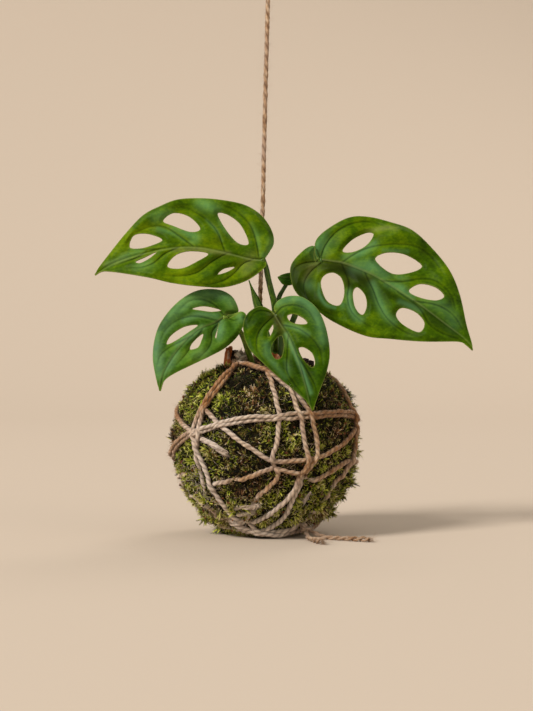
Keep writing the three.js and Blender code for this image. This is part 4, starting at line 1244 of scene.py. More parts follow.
def make_dry_curl():
    """The curled dry sheath: a strip that goes part of the way round its line, waves a little, and
    closes over at its top in a quarter of an ellipse."""
    share = np.linspace(0, 1, SLEEVE_ROWS)[:, None]
    turn = np.linspace(*CURL_TURN, 24)[None]
    x, y, z = along(smooth_line(CURL_ROUTE), share[:, 0]).T[..., None]
    top = np.sqrt(np.clip(1 - ((share - 0.62) / 0.39) ** 2, 0.04, 1))
    wide = (2.5 + 0.25 * np.sin(7 * share + 1.0)) * (1 + 0.05 * np.sin(3 * turn + 5 * share))
    wide = wide * np.where(share > 0.62, top, 1.0)
    lean = 0.9 * ramp(share, 0.6, 1.0)
    curl = np.stack([x - wide * np.cos(turn) + lean, y + wide * np.sin(turn), z + 0 * turn], axis=-1)
    sheet("dry_curl", curl, SHEATH, thick=0.5, stands_for=["dry_sheath"])


def sleeve(tip, turn, reach, flat=1.0, rag=0.0):
    """A tube about the line from the main stem's foot to a tip: reach is its half width at each row and
    turn, flat its depth as a share of that, and rag how far its rows are shifted up."""
    share = np.linspace(0, 1, SLEEVE_ROWS)[:, None, None]
    middle = SLEEVE_FOOT + (np.array(tip) - SLEEVE_FOOT) * share
    x, y, z = reach * np.cos(turn), flat * reach * np.sin(turn), rag + 0 * reach
    return middle + np.stack([x, y, z], axis=-1)


def make_sleeves():
    """The ragged brown sheath and the green one round the main stem's foot."""
    share = np.linspace(0, 1, SLEEVE_ROWS)[:, None]
    turn = full_turn(SLEEVE_COLUMNS)[None]
    reach = 5.3 - 1.0 * share + 0.3 * np.sin(5 * turn) * share + 0.2 * np.sin(11 * turn + 2) * share**2
    rag = share * (0.9 * np.sin(3 * turn + 1) + 0.5 * np.sin(8 * turn)) * 1.1
    brown = sleeve([6.6, 1.2, 103.4], turn, reach, rag=rag)
    sheet("sheath_round_stem", brown, SHEATH, 0.5, stands_for=["stem_sheath"], closed=True)
    reach = 4.5 - 0.7 * share + 0.25 * np.cos(turn - 0.4) - 1.2 * ramp(share, 0.75, 1.0)
    green = sleeve([7.6, 0.6, 117.5], turn, reach, flat=0.8)
    sheet("stem_base_sheath", green, STEM, 0.4, closed=True)


make_soil()
make_bark_bits()
make_straws()


# ---- stems

# Each stem's route as [x, z] in the front view and its depth, and its radius at its foot and its tip
STEMS = {
    "main_stem": (
        [[4.6, 82, 4], [5.2, 92, 3], [6, 101, 2], [7, 110, 0.5], [7.6, 118, -1], [7.8, 125, -2]],
        3.3, 2.7,
    ),
    "petiole_front": (
        [[6.2, 105, 1], [6.2, 109, -5], [6.3, 115, -12], [6.4, 121, -19.5], [6.6, 125, -25],
         [7.6, 126, -27.4]],
        1.8, 1.2,
    ),
    "petiole_upper_left": (
        [[7.2, 116, -1], [6.4, 124, -3.5], [5.4, 133.4, -6.5], [3.5, 140.9, -8.5], [1.7, 148.5, -10],
         [0.4, 154.9, -11.2], [-1.8, 159.2, -12.6]],
        2.1, 1.5,
    ),
    "petiole_upper_right": (
        [[6.8, 108, 0.5], [10.6, 113.7, 2.5], [14.4, 119.6, 4], [16.8, 124.7, 4.5], [19.7, 132.2, 4],
         [23.8, 142.1, 1.5], [27.8, 151.4, -2.5], [31.4, 157.2, -5.6], [33.6, 158.2, -7.4]],
        2.0, 1.4,
    ),
    "young_stalk": (
        [[7.8, 121, 0], [7.2, 129, 3], [8.1, 136.3, 4.6], [10.4, 140.9, 5.2], [13.4, 145.4, 5],
         [17, 147.8, 3.8]],
        1.7, 1.1,
    ),
    "petiole_lower_left": (
        [[-6, 80, -1], [-6.8, 90, -3], [-7.8, 99.2, -5.5], [-10.4, 107.3, -9], [-13.3, 114.8, -12.5],
         [-16.8, 120.6, -15.5], [-21.2, 124.4, -17.6], [-24.5, 124.8, -19.4]],
        1.9, 1.2,
    ),
}
SPEAR = [
    [5.6, 104, 2], [3.4, 109.5, 0], [0.6, 117.7, -1], [-1.7, 124.7, -1], [-3.9, 131.1, -0.5],
    [-6.5, 138.4, 0.5], [-9.3, 146.6, 1.5],
]
STEM_SIDES = 18
STEM_STEP = 0.9


def in_sight(x, y, z):
    """The places at depth y that the front view shows at [x, z]."""
    nearness = 1 + y / -EYE[1]
    x, z = EYE[0] + (x - EYE[0]) * nearness, EYE[2] + (z - EYE[2]) * nearness
    return np.stack([x, y + 0 * x, z], axis=-1)


def stem_route(points):
    """A route's points in space."""
    x, z, y = np.array(points, float).T
    return in_sight(x, y, z)


def stem_finish(name, dark, middle, light):
    """Green with fine streaks along it and some brown flecks."""
    make = Finish(name, Roughness=0.42, Specular_IOR_Level=0.35)
    streaks = make.noise(1.0, 3.0, 0.6, (0.25, 7.0, 1), lay=True)
    flecks = make.noise(330.0, 3.0, 0.6)
    colour = make.three_tones(streaks * 0.8 + flecks * 0.2, dark, middle, light)
    brown = make.blend(colour, (96, 72, 40), (flecks * 4.0 - 2.45).clipped() * 0.7)
    return make.wear(Base_Color=brown, Normal=make.relief(streaks, 0.0003, 0.5))


STEM = stem_finish("stem", (26, 46, 2), (54, 86, 6), (96, 124, 20))
# A lighter copy of the stem's greens, which paints light on the lower left petiole where the leaves shade it
LIT_STEM = stem_finish("lit_stem", (60, 76, 10), (100, 128, 30), (146, 158, 66))


def stalk(route, low, high):
    """A round stalk that tapers along its route and swells at its tip, with a shallow groove along
    its front."""
    path = spaced(smooth_line(stem_route(route)), STEM_STEP)
    run = lengths(path)
    share = (run / run[-1])[:, None]
    turn = full_turn(STEM_SIDES)[None]
    swell = 1 + 0.28 * bell(share, 1, 0.05) + 0.05 * rolling(path, 12.0, 130)[:, None]
    groove = 1 - 0.16 * bell(np.angle(np.exp(1j * (turn - np.pi / 2))), 0, 0.45)
    radius = (low + (high - low) * share) * swell * groove
    ring = around(turn, *cross_ways(path, [0, -1.0, 0.2]))
    return capped_tube(path[:, None] + radius[..., None] * ring, run[-1])


def make_stems():
    """A stalk for each stem, the lower left one in the lighter copy of the green, as painted light."""
    for name, (route, low, high) in STEMS.items():
        points, faces, corners = stalk(route, low, high)
        # The lower left petiole gets the lighter copy: painted light
        finish = LIT_STEM if name == "petiole_lower_left" else STEM
        put(name + "_stalk", points, faces, finish, corners, stands_for=[name])


def spear_finish():
    """Bright green with fine streaks along it."""
    make = Finish("rolled_leaf", Roughness=0.4, Specular_IOR_Level=0.5)
    streaks = make.noise(1.0, 3.0, 0.6, (1.5, 20.0, 1), lay=True)
    colour = make.three_tones(streaks, (54, 94, 8), (92, 138, 18), (146, 180, 44))
    return make.wear(Base_Color=colour, Normal=make.relief(streaks, 0.0002, 0.5))


def make_rolled_leaf():
    """The young leaf, still rolled: a sheet that winds one and three quarter times round its line,
    swells from its stalk and ends in a point."""
    share = np.linspace(0, 1, 90)[:, None]
    wind = np.linspace(0, 1, 72)[None]
    path = along(smooth_line(stem_route(SPEAR)), share[:, 0])
    turn = 3.5 * np.pi * wind + 0.9 + 1.2 * share
    radius = 1.3 + 1.3 * ramp(share, 0.3, 0.62) - 2.35 * ramp(share, 0.62, 1.0)
    reach = radius * (0.45 + 0.6 * wind)
    surface = path[:, None] + reach[..., None] * around(turn, *cross_ways(path, [0, -1.0, 0.0]))
    sheet("rolled_blade", surface, spear_finish(), thick=0.3, stands_for=["rolled_leaf"])


make_stems()
make_dry_curl()
# Near-black lumps, some of which fill the dark gaps round the curl as painted shade
put_lumps("bark_lumps", DARK_CHIPS, DARK_BARK, seed=120, stands_for=["bark_chip"])
put_lumps("sheath_bits", SHEATH_BITS, SHEATH, seed=141)
# A pale lump on the curl's middle, as a painted highlight
put_lumps("sheath_highlight_bit", SHEATH_HIGHLIGHT_BIT, SHEATH_HIGHLIGHT, seed=140)
make_sleeves()


# ---- leaves

# Outlines, ribs, holes and veins as the front view shows them; the depths and slopes are part.mjs's.
LEAVES = {
    "leaf_upper_left": {
        "upper": [
            [0.5, 160], [2.5, 163], [5, 168], [4, 175], [-1.5, 183.5], [-10, 189.5], [-20.5, 192.5],
            [-35, 194], [-50.5, 193.5], [-61, 189.5], [-71, 184], [-81, 173.5], [-91, 161],
            [-96, 154.5], [-98.5, 150.3],
        ],
        "lower": [
            [0.5, 157.5], [0.5, 155], [-3, 151.5], [-11.5, 146], [-24, 142.5], [-37.5, 143],
            [-54, 145], [-66.5, 148], [-81, 150.5], [-91.5, 151.8], [-95.5, 151.3], [-98.5, 149.4],
        ],
        "midrib": [
            [-1, 158.7], [-8.5, 159.5], [-20.5, 162.5], [-37.5, 166], [-52, 166], [-66, 163.5],
            [-80.5, 159.5], [-92, 154.5], [-98.5, 149.8],
        ],
        "depths": [-14, -22, -10],
        "rise": [0.28, -0.22],
        "tuck": [0.1, 0.1],
        "rib_highlight_side": -1,
        "holes": [
            [[-27.5, 185], [-21.5, 184.5], [-14, 178.5], [-9.5, 168], [-15.5, 168], [-22.5, 175.5]],
            [[-59, 181], [-53, 185.5], [-44, 183.5], [-37.5, 176.5], [-43, 174.5], [-53, 178]],
            [[-78.5, 166], [-76, 172.5], [-68, 173.5], [-59.5, 170], [-66.5, 166.5], [-73.5, 165]],
            [[-75, 157.5], [-69.5, 160], [-62.8, 163], [-67.3, 159], [-72.5, 156.5]],
            [[-56.5, 154.5], [-52, 161], [-43.5, 163.5], [-33, 162], [-39.5, 157.5], [-48.5, 153.5]],
            [[-27.3, 150], [-23.8, 153.2], [-17.5, 154.3], [-22, 151.5]],
        ],
        "veins": [
            [[-3.7, 160.5], [-4.2, 165], [-6.6, 174.5], [-10, 180.5], [-16.5, 186.5], [-25, 190.5]],
            [[-23.5, 163.5], [-27, 173.5], [-32, 180], [-38.5, 185], [-46, 188.5], [-55, 188.5]],
            [[-41.5, 166.3], [-49.5, 172], [-56, 176.5], [-62, 178], [-68.5, 177], [-74, 174.5]],
            [[-58, 165.3], [-68, 164.4], [-77, 164.6], [-83, 162.5]],
            [[-7, 158.8], [-13, 156], [-18, 150.5], [-25, 146], [-34, 144]],
            [[-22, 162.5], [-30.5, 157.5], [-39.5, 151], [-49.5, 149], [-59.5, 149.5]],
            [[-49.5, 166], [-58, 162], [-64.5, 156.5], [-71.5, 154], [-80.5, 153.5]],
            [[-68.5, 163.5], [-75, 159.5], [-82, 157], [-89, 154.5]],
        ],
    },
    "leaf_upper_right": {
        "upper": [
            [30.5, 159], [29, 163], [30, 170.5], [38, 177.5], [49, 183], [59.5, 183.5], [72, 180.5],
            [85.5, 175.5], [97.5, 164.5], [107, 152.5], [113, 138], [117, 120.5], [119.7, 111],
            [120.7, 106.2],
        ],
        "lower": [
            [29.4, 157.2], [28.3, 161], [28.6, 166.5], [23, 164.5], [15.5, 156], [15, 147.5],
            [18.5, 139], [27.5, 131.5], [39, 123], [58, 114.5], [73.5, 112.5], [93, 111],
            [111.5, 111], [116.5, 109], [120.3, 105.8],
        ],
        "midrib": [
            [31, 158], [39, 157], [46.5, 155.5], [61.5, 149.5], [75, 141.5], [90, 131.5],
            [104.5, 120.5], [115.5, 112], [120.5, 106],
        ],
        "depths": [-8.4, -17, -26],
        "rise": [0.3, -0.16],
        "tuck": [-0.3, 0.4],
        "rib_highlight_side": 1,
        "holes": [
            [[45, 163.5], [50.5, 170], [59, 174], [63, 173], [59, 167], [51, 163]],
            [[64, 158.5], [70, 162.5], [81, 161.5], [91, 155], [84.5, 151], [73.5, 150.5]],
            [[83.5, 140.5], [90, 144.5], [99, 142.5], [104, 137.5], [99, 135], [88.5, 137]],
            [[32.5, 143.5], [34, 149], [39.5, 151], [44.5, 147.5], [46, 139], [43, 132], [36, 134.5]],
            [[51, 139], [53.5, 142.5], [58, 138], [59, 131.5], [56.5, 126.5], [52.5, 130.5]],
            [[76, 126.5], [79.5, 130.5], [87.5, 128], [92.5, 122], [89.5, 116.5], [80, 121]],
        ],
        "veins": [
            [[32, 158.3], [35, 166.5], [41.5, 174.5], [51, 179.5], [62, 180.3], [71.5, 177]],
            [[44, 156.5], [55.5, 163.5], [65, 166.5], [78, 167.5], [89, 165.5], [98, 158.5], [103.5, 150.5]],
            [[67.5, 146.2], [79.5, 145.7], [91.5, 147.5], [100, 145.7], [107.5, 138.5], [110.5, 130]],
            [[86, 134.5], [99.5, 132.2], [109, 126.5], [114.5, 118.5]],
            [[31, 157.5], [23, 156.5], [17.5, 153.5], [16, 148]],
            [[33.4, 157.2], [26.2, 151], [22.7, 143.5], [25.4, 135.5], [33.4, 129], [43, 125]],
            [[44.5, 156.2], [48.7, 145.7], [48, 136.2], [51, 127.4], [59, 121], [68.5, 117]],
            [[58, 151], [62.8, 141], [66.4, 132], [71.5, 124], [80.3, 117], [91.5, 113]],
            [[77, 140], [89.5, 130.5], [95.4, 121], [103.5, 115.5], [111.5, 113]],
        ],
    },
    "leaf_lower_left": {
        "upper": [
            [-21.5, 126.5], [-16.5, 127.5], [-15.5, 130], [-19, 137], [-26.5, 141], [-37.5, 141],
            [-46.5, 137], [-54.5, 130], [-61, 121], [-64, 112], [-65, 101.5], [-63.5, 91.5],
            [-61.3, 82.5],
        ],
        "lower": [
            [-21, 124.5], [-17, 126.5], [-13.5, 128.5], [-11, 126.5], [-12, 121.5], [-16, 114],
            [-23, 107.5], [-32, 102.5], [-43.5, 97], [-53.5, 92], [-58.5, 88], [-60.5, 82.3],
        ],
        "midrib": [
            [-22.5, 125.5], [-29, 121.5], [-37, 118.5], [-43.5, 113.5], [-51.5, 104.5], [-57, 96],
            [-59.8, 89], [-60.9, 82.4],
        ],
        "depths": [-20, -27, -30],
        "rise": [0.2, -0.05],
        "tuck": [0.1, -0.2],
        "rib_highlight_side": 1,
        "holes": [
            [[-42, 130], [-36, 131.5], [-29, 130.5], [-25.5, 129], [-30.8, 128.3], [-36.5, 129]],
            [[-57, 109.5], [-54.5, 114.5], [-47, 119.5], [-39, 120.5], [-45, 116], [-52, 111.5]],
            [[-43.5, 106.5], [-42, 110.5], [-36, 115.5], [-37, 111], [-39, 107.5]],
            [[-28.2, 113.2], [-27.4, 118], [-26.8, 121.4], [-27.6, 118], [-28.8, 114]],
        ],
        "veins": [
            [[-23.5, 126], [-29.7, 132.6], [-37, 135.5], [-43.7, 134.5], [-49, 130.3]],
            [[-27, 123], [-37.8, 125.5], [-45.2, 125.2], [-52.6, 122.2], [-58, 117], [-60.7, 110.3]],
            [[-42, 114.5], [-49, 111], [-55.5, 107.4], [-60.4, 103], [-62.6, 97]],
            [[-22.3, 125.3], [-18.6, 123.3], [-15.5, 123.8]],
            [[-25.5, 123.8], [-30.5, 117], [-31, 111], [-33.5, 106], [-38.5, 101.4]],
            [[-36.3, 118.5], [-40, 113], [-45.5, 104], [-51.1, 97.7]],
        ],
    },
    "leaf_front": {
        "upper": [
            [6.4, 128], [5.3, 131], [8, 135], [14.5, 137.5], [22.5, 136.5], [30.5, 130], [35, 120],
            [37.5, 106], [36.5, 96], [32.5, 84.5], [29.7, 76.5], [28, 71.2],
        ],
        "lower": [
            [5, 127], [3, 129], [-2, 131.5], [-7.5, 129.5], [-11.5, 125], [-12.5, 118],
            [-9.5, 107.5], [-1, 98.5], [9.5, 89], [22, 78.5], [25.3, 74.6], [27.4, 70.9],
        ],
        "midrib": [
            [6, 127.5], [8.5, 123], [14, 114.5], [18, 105], [21.5, 94.5], [24.5, 84], [26.5, 76],
            [27.7, 71],
        ],
        "depths": [-28, -43, -51],
        "rise": [0.12, -0.02],
        "tuck": [0.25, 0.25],
        "rib_highlight_side": -1,
        "holes": [
            [[13, 126], [17, 127], [22.5, 124.5], [24.5, 121.5], [20.5, 121], [15, 122.5]],
            [[4.8, 121], [4.6, 117.3], [2.5, 113.5], [1.7, 116]],
            [[9.5, 114.5], [11, 109], [9.5, 102], [6, 101], [3.5, 106], [5.5, 111.5]],
            [[19.5, 107], [23, 107.5], [27.5, 104], [29, 98.5], [27, 96], [22, 101]],
        ],
        "veins": [
            [[6.5, 127.6], [11, 131.3], [18.4, 132], [25.1, 128.8], [29.5, 122]],
            [[10, 120.7], [19.2, 118.5], [26.6, 113.5], [31.8, 106.6], [33.6, 97.7]],
            [[18.8, 102.6], [25.1, 93], [28.8, 86.5], [29.9, 81.5]],
            [[5, 127.4], [-2.3, 129], [-6.7, 127], [-9.3, 122]],
            [[6, 126.5], [-1.8, 119], [-4.8, 111.8], [-3.8, 104.4], [0.7, 98.5], [7.3, 91.8]],
            [[13.7, 115], [13, 103.7], [13, 94], [17, 86.6], [22.1, 80]],
        ],
    },
    "young_leaf": {
        "upper": [[20.4, 150.3], [18, 151.2], [13.3, 150.8], [9.9, 149.9], [7.6, 148.7]],
        "lower": [[20.4, 147.8], [18, 145], [14, 143.6], [10.4, 144.2], [8.6, 146.2], [7.4, 148]],
        "midrib": [[20.4, 149.1], [16, 147.8], [11, 147.5], [7.5, 148.4]],
        "depths": [3.6, 2.6, 4],
        "rise": [0.25, -0.1],
        "tuck": [0, 0],
        "rib_highlight_side": 1,
        "holes": [],
        "veins": [],
    },
}


WIDEST = 0.35  # share of a margin's length at which a blade is about its widest


class Blade:
    """A leaf as a surface: share runs along the margin from notch to tip, and side from -1 at the
    lower margin over 0 at the midrib to 1 at the upper margin. A straight rib joins each margin point
    to the midrib, and the depth is an arch along the midrib plus a slope away from it."""

    def __init__(self, leaf):
        self.leaf = leaf
        lines = (smooth_line(leaf[key]) for key in ("upper", "lower", "midrib"))
        self.upper, self.lower, self.midrib = lines
        self.heading = unit(self.midrib[1] - self.midrib[0])
        self.length = max(lengths(self.upper)[-1], lengths(self.lower)[-1])
        widest = np.array(WIDEST)
        self.width = 0.5 * np.linalg.norm(along(self.upper, widest) - along(self.lower, widest))

    def spot(self, share, side):
        """Where the front view shows a point of the blade, and its distance from the midrib."""
        rib = along(self.midrib, share**HEEL_POWER)
        margin = np.where((side < 0)[..., None], along(self.lower, share), along(self.upper, share))
        spot = rib + np.abs(side)[..., None] * (margin - rib)
        return spot, np.linalg.norm(spot - rib, axis=-1)

    def depth(self, share, side, spot, off):
        """How far back each point lies, of which the front view shows the spot."""
        base, middle, tip = self.leaf["depths"]
        where = share**HEEL_POWER
        arch = base + (tip - base) * where + 4 * (middle - (base + tip) / 2) * where * (1 - where)
        behind = np.maximum(0, -(spot - self.midrib[0]) @ self.heading)
        lower = side < 0
        rise = np.where(lower, self.leaf["rise"][1], self.leaf["rise"][0])
        tuck = np.where(lower, self.leaf["tuck"][1], self.leaf["tuck"][0])
        return arch + rise * off + tuck * behind


def inside(points, ring):
    """Whether each flat point lies in the ring, by counting the edges to its right."""
    x, y = points[:, :1], points[:, 1:]
    (ax, ay), (bx, by) = ring.T, np.roll(ring, -1, 0).T
    crosses = (ay > y) != (by > y)
    reach = ax + (y - ay) * (bx - ax) / np.where(by == ay, 1e-12, by - ay)
    return (crosses & (x < reach)).sum(1) % 2 == 1


def settled(blade, place, ring, small=1e-4):
    """Moves (share, side) places until the front view shows them at the ring's points: a few steps,
    each by the slopes there."""
    for _ in range(4):
        here, _ = blade.spot(*place.T)
        slopes = [(blade.spot(*(place + shift).T)[0] - here) / small for shift in ([small, 0], [0, small])]
        place = place + np.linalg.solve(np.stack(slopes, axis=-1), (ring - here)[..., None])[..., 0]
        place = np.clip(place, [0.001, -0.999], [0.999, 0.999])
    return place


def cut_lattice(blade):
    """Points and triangles of a blade in (share, side), with its holes cut out along smooth rings: a
    lattice without the points in and close to the holes, joined with the rings by triangles."""
    rows = round(blade.length / LATTICE)
    columns = 2 * round(blade.width / LATTICE)
    stations = np.linspace(0, 1, rows + 1), np.linspace(-1, 1, columns + 1)
    share, side = np.meshgrid(*stations, indexing="ij")
    spot, _ = blade.spot(share, side)
    step = np.stack(np.gradient(spot, axis=(0, 1)), axis=-1)
    flat = np.stack([share * blade.length, side * blade.width], axis=-1).reshape(-1, 2)
    keep = np.ones(len(flat), bool)
    rings = []
    for hole in blade.leaf["holes"]:
        ring = spaced(smooth_line(hole, closed=True), LATTICE)[:-1]
        _, which = nearest(ring, spot.reshape(-1, 2))
        row, column = np.unravel_index(which, share.shape)
        part = np.linalg.solve(step[row, column], (ring - spot[row, column])[..., None])[..., 0]
        place = np.stack([(row + part[:, 0]) / rows, (column + part[:, 1]) / columns * 2 - 1], axis=-1)
        place = settled(blade, place, ring) * [blade.length, blade.width]
        rings.append(place)
        keep &= ~inside(flat, place) & (nearest(flat, place)[0] > 0.55 * LATTICE)
    points = [flat[keep]]
    edges = []
    count = keep.sum()
    for ring in rings:
        turn = np.arange(len(ring))
        edges += np.stack([count + turn, count + (turn + 1) % len(ring)], axis=1).tolist()
        points.append(ring)
        count += len(ring)
    points = [Vector(point) for point in np.vstack(points)]
    made = geometry.delaunay_2d_cdt(points, edges, [], 0, 1e-7)
    flat = np.array([tuple(point) for point in made[0]])
    triangles = np.array(made[2])
    middle = flat[triangles].mean(1)
    for ring in rings:
        triangles = triangles[~inside(middle, ring)]
        middle = flat[triangles].mean(1)
    used, triangles = np.unique(triangles, return_inverse=True)
    flat = flat[used]
    share = np.clip(flat[:, 0] / blade.length, 0, 1)
    side = np.clip(flat[:, 1] / blade.width, -1, 1)
    return share, side, triangles.reshape(-1, 3)


# Strokes on the blades, of the kinds that STROKE_KINDS lists in turn: painted glaucous sheen, painted
# shade, brown that is partly painted shade below the midrib, a painted greyish sheen, and deeper
# painted shade: half width, strength, and points
STROKES = {
    "leaf_upper_left": {
        # Painted glaucous sheen
        "gleam": [
            (3, 0.9, [[-38.2, 192], [-28.4, 187.8]]),
            (3, 0.7, [[-63.5, 182.9], [-55.8, 185]]),
            (2.5, 0.8, [[-52.3, 177.3], [-40.3, 171.7], [-41.7, 169.5]]),
            (1.2, 0.6, [[-62.1, 176.6], [-52.3, 173.1], [-46.7, 169.5]]),
            (2.5, 0.9, [[-0.3, 161.1], [2.5, 162.5], [4, 169.5]]),
            (1.5, 0.5, [[-3.1, 165.3], [-4.5, 171.7], [-8, 179.4]]),
            (1.6, 0.6, [[-91, 156.2], [-81.8, 159.7], [-72, 163.2]]),
            (1.2, 0.5, [[-78.3, 164.6], [-70.6, 163.9]]),
            (2.5, 0.6, [[-74.8, 154.1], [-66.3, 156.2]]),
            (1.6, 0.5, [[-27, 182.9], [-24.2, 176.6], [-17.1, 169.5]]),
            (1, 0.6, [[-34, 181.5], [-27.7, 174.5], [-24.9, 169.5]]),
        ],
        "shade": [
            (3.5, 0.7, [[-38.2, 159], [-24.2, 159.7], [-18.5, 161.1]]),
            (3, 0.45, [[-38.2, 186.4], [-31.2, 180.1], [-25.6, 173.1]]),
            (3, 0.5, [[-34.7, 148.5], [-24.2, 153.4]]),
            (2, 0.5, [[-9.4, 171], [-8, 165.3]]),
            (2, 0.4, [[-57.9, 175.2], [-64.9, 178.7]]),
        ],
        # A painted greyish sheen
        "dust": [
            (4, 0.5, [[-8, 159.7], [-10.8, 152.7]]),
            (1.2, 0.7, [[-20.7, 162.5], [-31.2, 163.2], [-39.6, 164.6], [-52.3, 163.9]]),
            (1.5, 0.5, [[-93.1, 155.5], [-80.4, 159.7]]),
        ],
    },
    "leaf_upper_right": {
        "gleam": [
            (4.5, 0.8, [[29.4, 163.6], [33.8, 169.5]]),
            (2.5, 0.8, [[47.1, 159.9], [56, 162.8], [63.4, 167.3]]),
            (4, 0.8, [[53, 154.7], [63.4, 153.9], [69.3, 148.8]]),
            (2.5, 0.8, [[70.8, 145.1], [78.2, 142.1], [85.6, 136.9]]),
            (2, 0.4, [[74.5, 148.8], [81.9, 147.3]]),
            (4, 0.45, [[91.5, 135.4], [100.4, 132.5], [106.3, 128], [110, 121.4]]),
            (1, 0.9, [[31.2, 144.3], [31.6, 138.4], [35.3, 132.5], [40.5, 130.6]]),
            (2.2, 0.9, [[48.6, 139.9], [49, 132.5], [52.3, 125.8], [55.3, 123.6]]),
            (2, 0.5, [[44.2, 134], [45.6, 131]]),
            (2.6, 0.85, [[62.7, 144.3], [65.6, 135.4], [70.1, 126.6], [74.5, 122.9]]),
            (1.8, 0.6, [[78.2, 134], [85.6, 131], [90, 128.8]]),
            (3, 0.3, [[24.2, 144.3], [28.6, 142.8]]),
            (1.2, 0.5, [[68.6, 163.9], [82.6, 163.2]]),
        ],
        "shade": [
            (5, 0.75, [[17, 150], [21, 142], [26, 136]]),
            (3.5, 0.6, [[28, 150], [26, 143], [30, 136]]),
            (3, 0.5, [[16, 145.8], [20.5, 141.4]]),
            (2.2, 0.75, [[61.9, 147.3], [70.8, 139.9], [78.2, 135.4], [89.3, 131], [100.4, 123.6],
                         [111.5, 114.7]]),
            (3, 0.5, [[26.4, 134.7], [33.8, 127.3]]),
            (1.5, 0.4, [[90, 167.3], [96.7, 160.6]]),
            (3, 0.5, [[95.2, 123.6], [102.6, 119.9]]),
            (2.5, 0.4, [[56, 141.4], [60.4, 131]]),
            (1.8, 0.5, [[63.4, 171.7], [67.8, 172.4]]),
        ],
        # Painted shade, darker than the shade strokes, on the heel and below the midrib
        "deep": [
            (5, 1.0, [[17, 152], [18.5, 145], [23, 138.5], [29, 132.5]]),
            (4, 0.85, [[22, 153], [24.5, 146], [27, 138]]),
            (3.6, 1.0, [[34, 154.5], [45, 152.5], [53.5, 148], [60, 144.5]]),
            (2.6, 0.9, [[49, 147.5], [50.5, 141]]),
            (2.4, 0.65, [[62, 143], [60.5, 136]]),
            (2, 0.55, [[70.5, 138.5], [80, 133.5], [88, 130]]),
            (2.6, 0.4, [[93, 127], [101, 120.5], [108, 116.5]]),
        ],
        # Brown at the heel and below the midrib, here partly painted shade
        "brown": [
            (4, 0.9, [[35.3, 155.4], [44.9, 153.9], [53, 150.2], [59, 147.3]]),
            (4, 0.7, [[19, 153.2], [24.9, 155.4], [30.1, 155.4]]),
            (2, 0.7, [[47.1, 148.8], [47.9, 144.3]]),
        ],
        # A painted greyish sheen
        "dust": [
            (1.4, 0.6, [[59, 175], [70.8, 176.9], [76.7, 176.5]]),
            (1.6, 0.5, [[22.7, 146.5], [26.4, 153.2], [30.8, 157.6]]),
        ],
    },
    "leaf_lower_left": {
        "gleam": [
            (4, 0.6, [[-49, 136], [-42, 140], [-33, 140.6], [-22, 138], [-18, 134]]),
            (4, 0.5, [[-59, 118], [-52, 129], [-43, 135.5], [-34, 137]]),
            (2, 0.6, [[-47.4, 123.6], [-38.5, 126.5], [-28.2, 125.8]]),
            (4, 0.7, [[-62.9, 118.4], [-63.7, 107.3], [-61.5, 92.5]]),
            (2, 0.6, [[-51.1, 109.5], [-43.7, 114], [-36.3, 119.1]]),
            (2.5, 0.5, [[-58.5, 92.5], [-51.1, 103.6]]),
            (2.5, 0.6, [[-25.9, 122.1], [-26.7, 114]]),
            (2, 0.5, [[-14.8, 125.8], [-13.4, 123.6]]),
            (3, 0.3, [[-40, 103.6], [-34.1, 104.3]]),
        ],
        "shade": [
            (2.5, 0.8, [[-28.2, 123.6], [-29.6, 116.9], [-34.1, 114]]),
            (3, 0.6, [[-29.6, 131], [-22.2, 130.2]]),
            (2, 0.7, [[-20.8, 122.8], [-19.3, 118.4]]),
            (1, 0.6, [[-47.4, 108], [-40, 114]]),
            (2.5, 0.35, [[-25.2, 114], [-32.6, 108], [-40, 102.1]]),
            (1.5, 0.5, [[-38.5, 120.6], [-31.1, 123.6]]),
        ],
        "brown": [
            (2, 0.8, [[-23.7, 126.5], [-20, 126.9]]),
        ],
    },
    "leaf_front": {
        "gleam": [
            (3.6, 0.75, [[8.1, 133.9], [15.5, 136.2], [22.9, 133.9], [28.8, 128], [32.5, 119.9],
                         [34, 112.5]]),
            (1.6, 0.7, [[12.5, 120.6], [19.2, 118.4], [25.1, 115.4]]),
            (1.3, 0.9, [[12.5, 115.4], [17.7, 103.6], [22.2, 93.2], [26.6, 81.4]]),
            (2.2, 0.5, [[1.4, 109.5], [2.9, 102.1]]),
            (1.8, 0.4, [[0.7, 103.6], [8.1, 94.7], [11.8, 90.3]]),
            (1.5, 0.4, [[11.8, 99.2], [14, 91.8]]),
        ],
        "shade": [
            (6, 0.7, [[-6.7, 124.3], [-3, 127.3], [1.4, 124.3]]),
            (2, 0.5, [[16.2, 114], [21.8, 103.6], [25.9, 94]]),
            (3, 0.5, [[21.4, 114], [28.8, 109.5]]),
            (2.5, 0.5, [[8.8, 116.9], [11.1, 111]]),
            (3, 0.35, [[13.3, 103.6], [17.7, 91.8]]),
        ],
        "brown": [
            (3, 0.95, [[4.4, 126.5], [7.4, 123.6], [8.8, 116.9]]),
        ],
    },
}
STROKE_KINDS = ("gleam", "shade", "brown", "dust", "deep")
STROKE_STEP = 0.4
VEIN_STEP = 0.3

# The blades' relief: heights, and the length of their slow wave
PILLOW = 1.55
VALLEY = 1.5
MARGIN_CURL = 0.8
WAVE_LENGTH = 28.0
PLAIN_WAVE = 1.5
WAVE_HEIGHT = {"leaf_lower_left": 0.5}


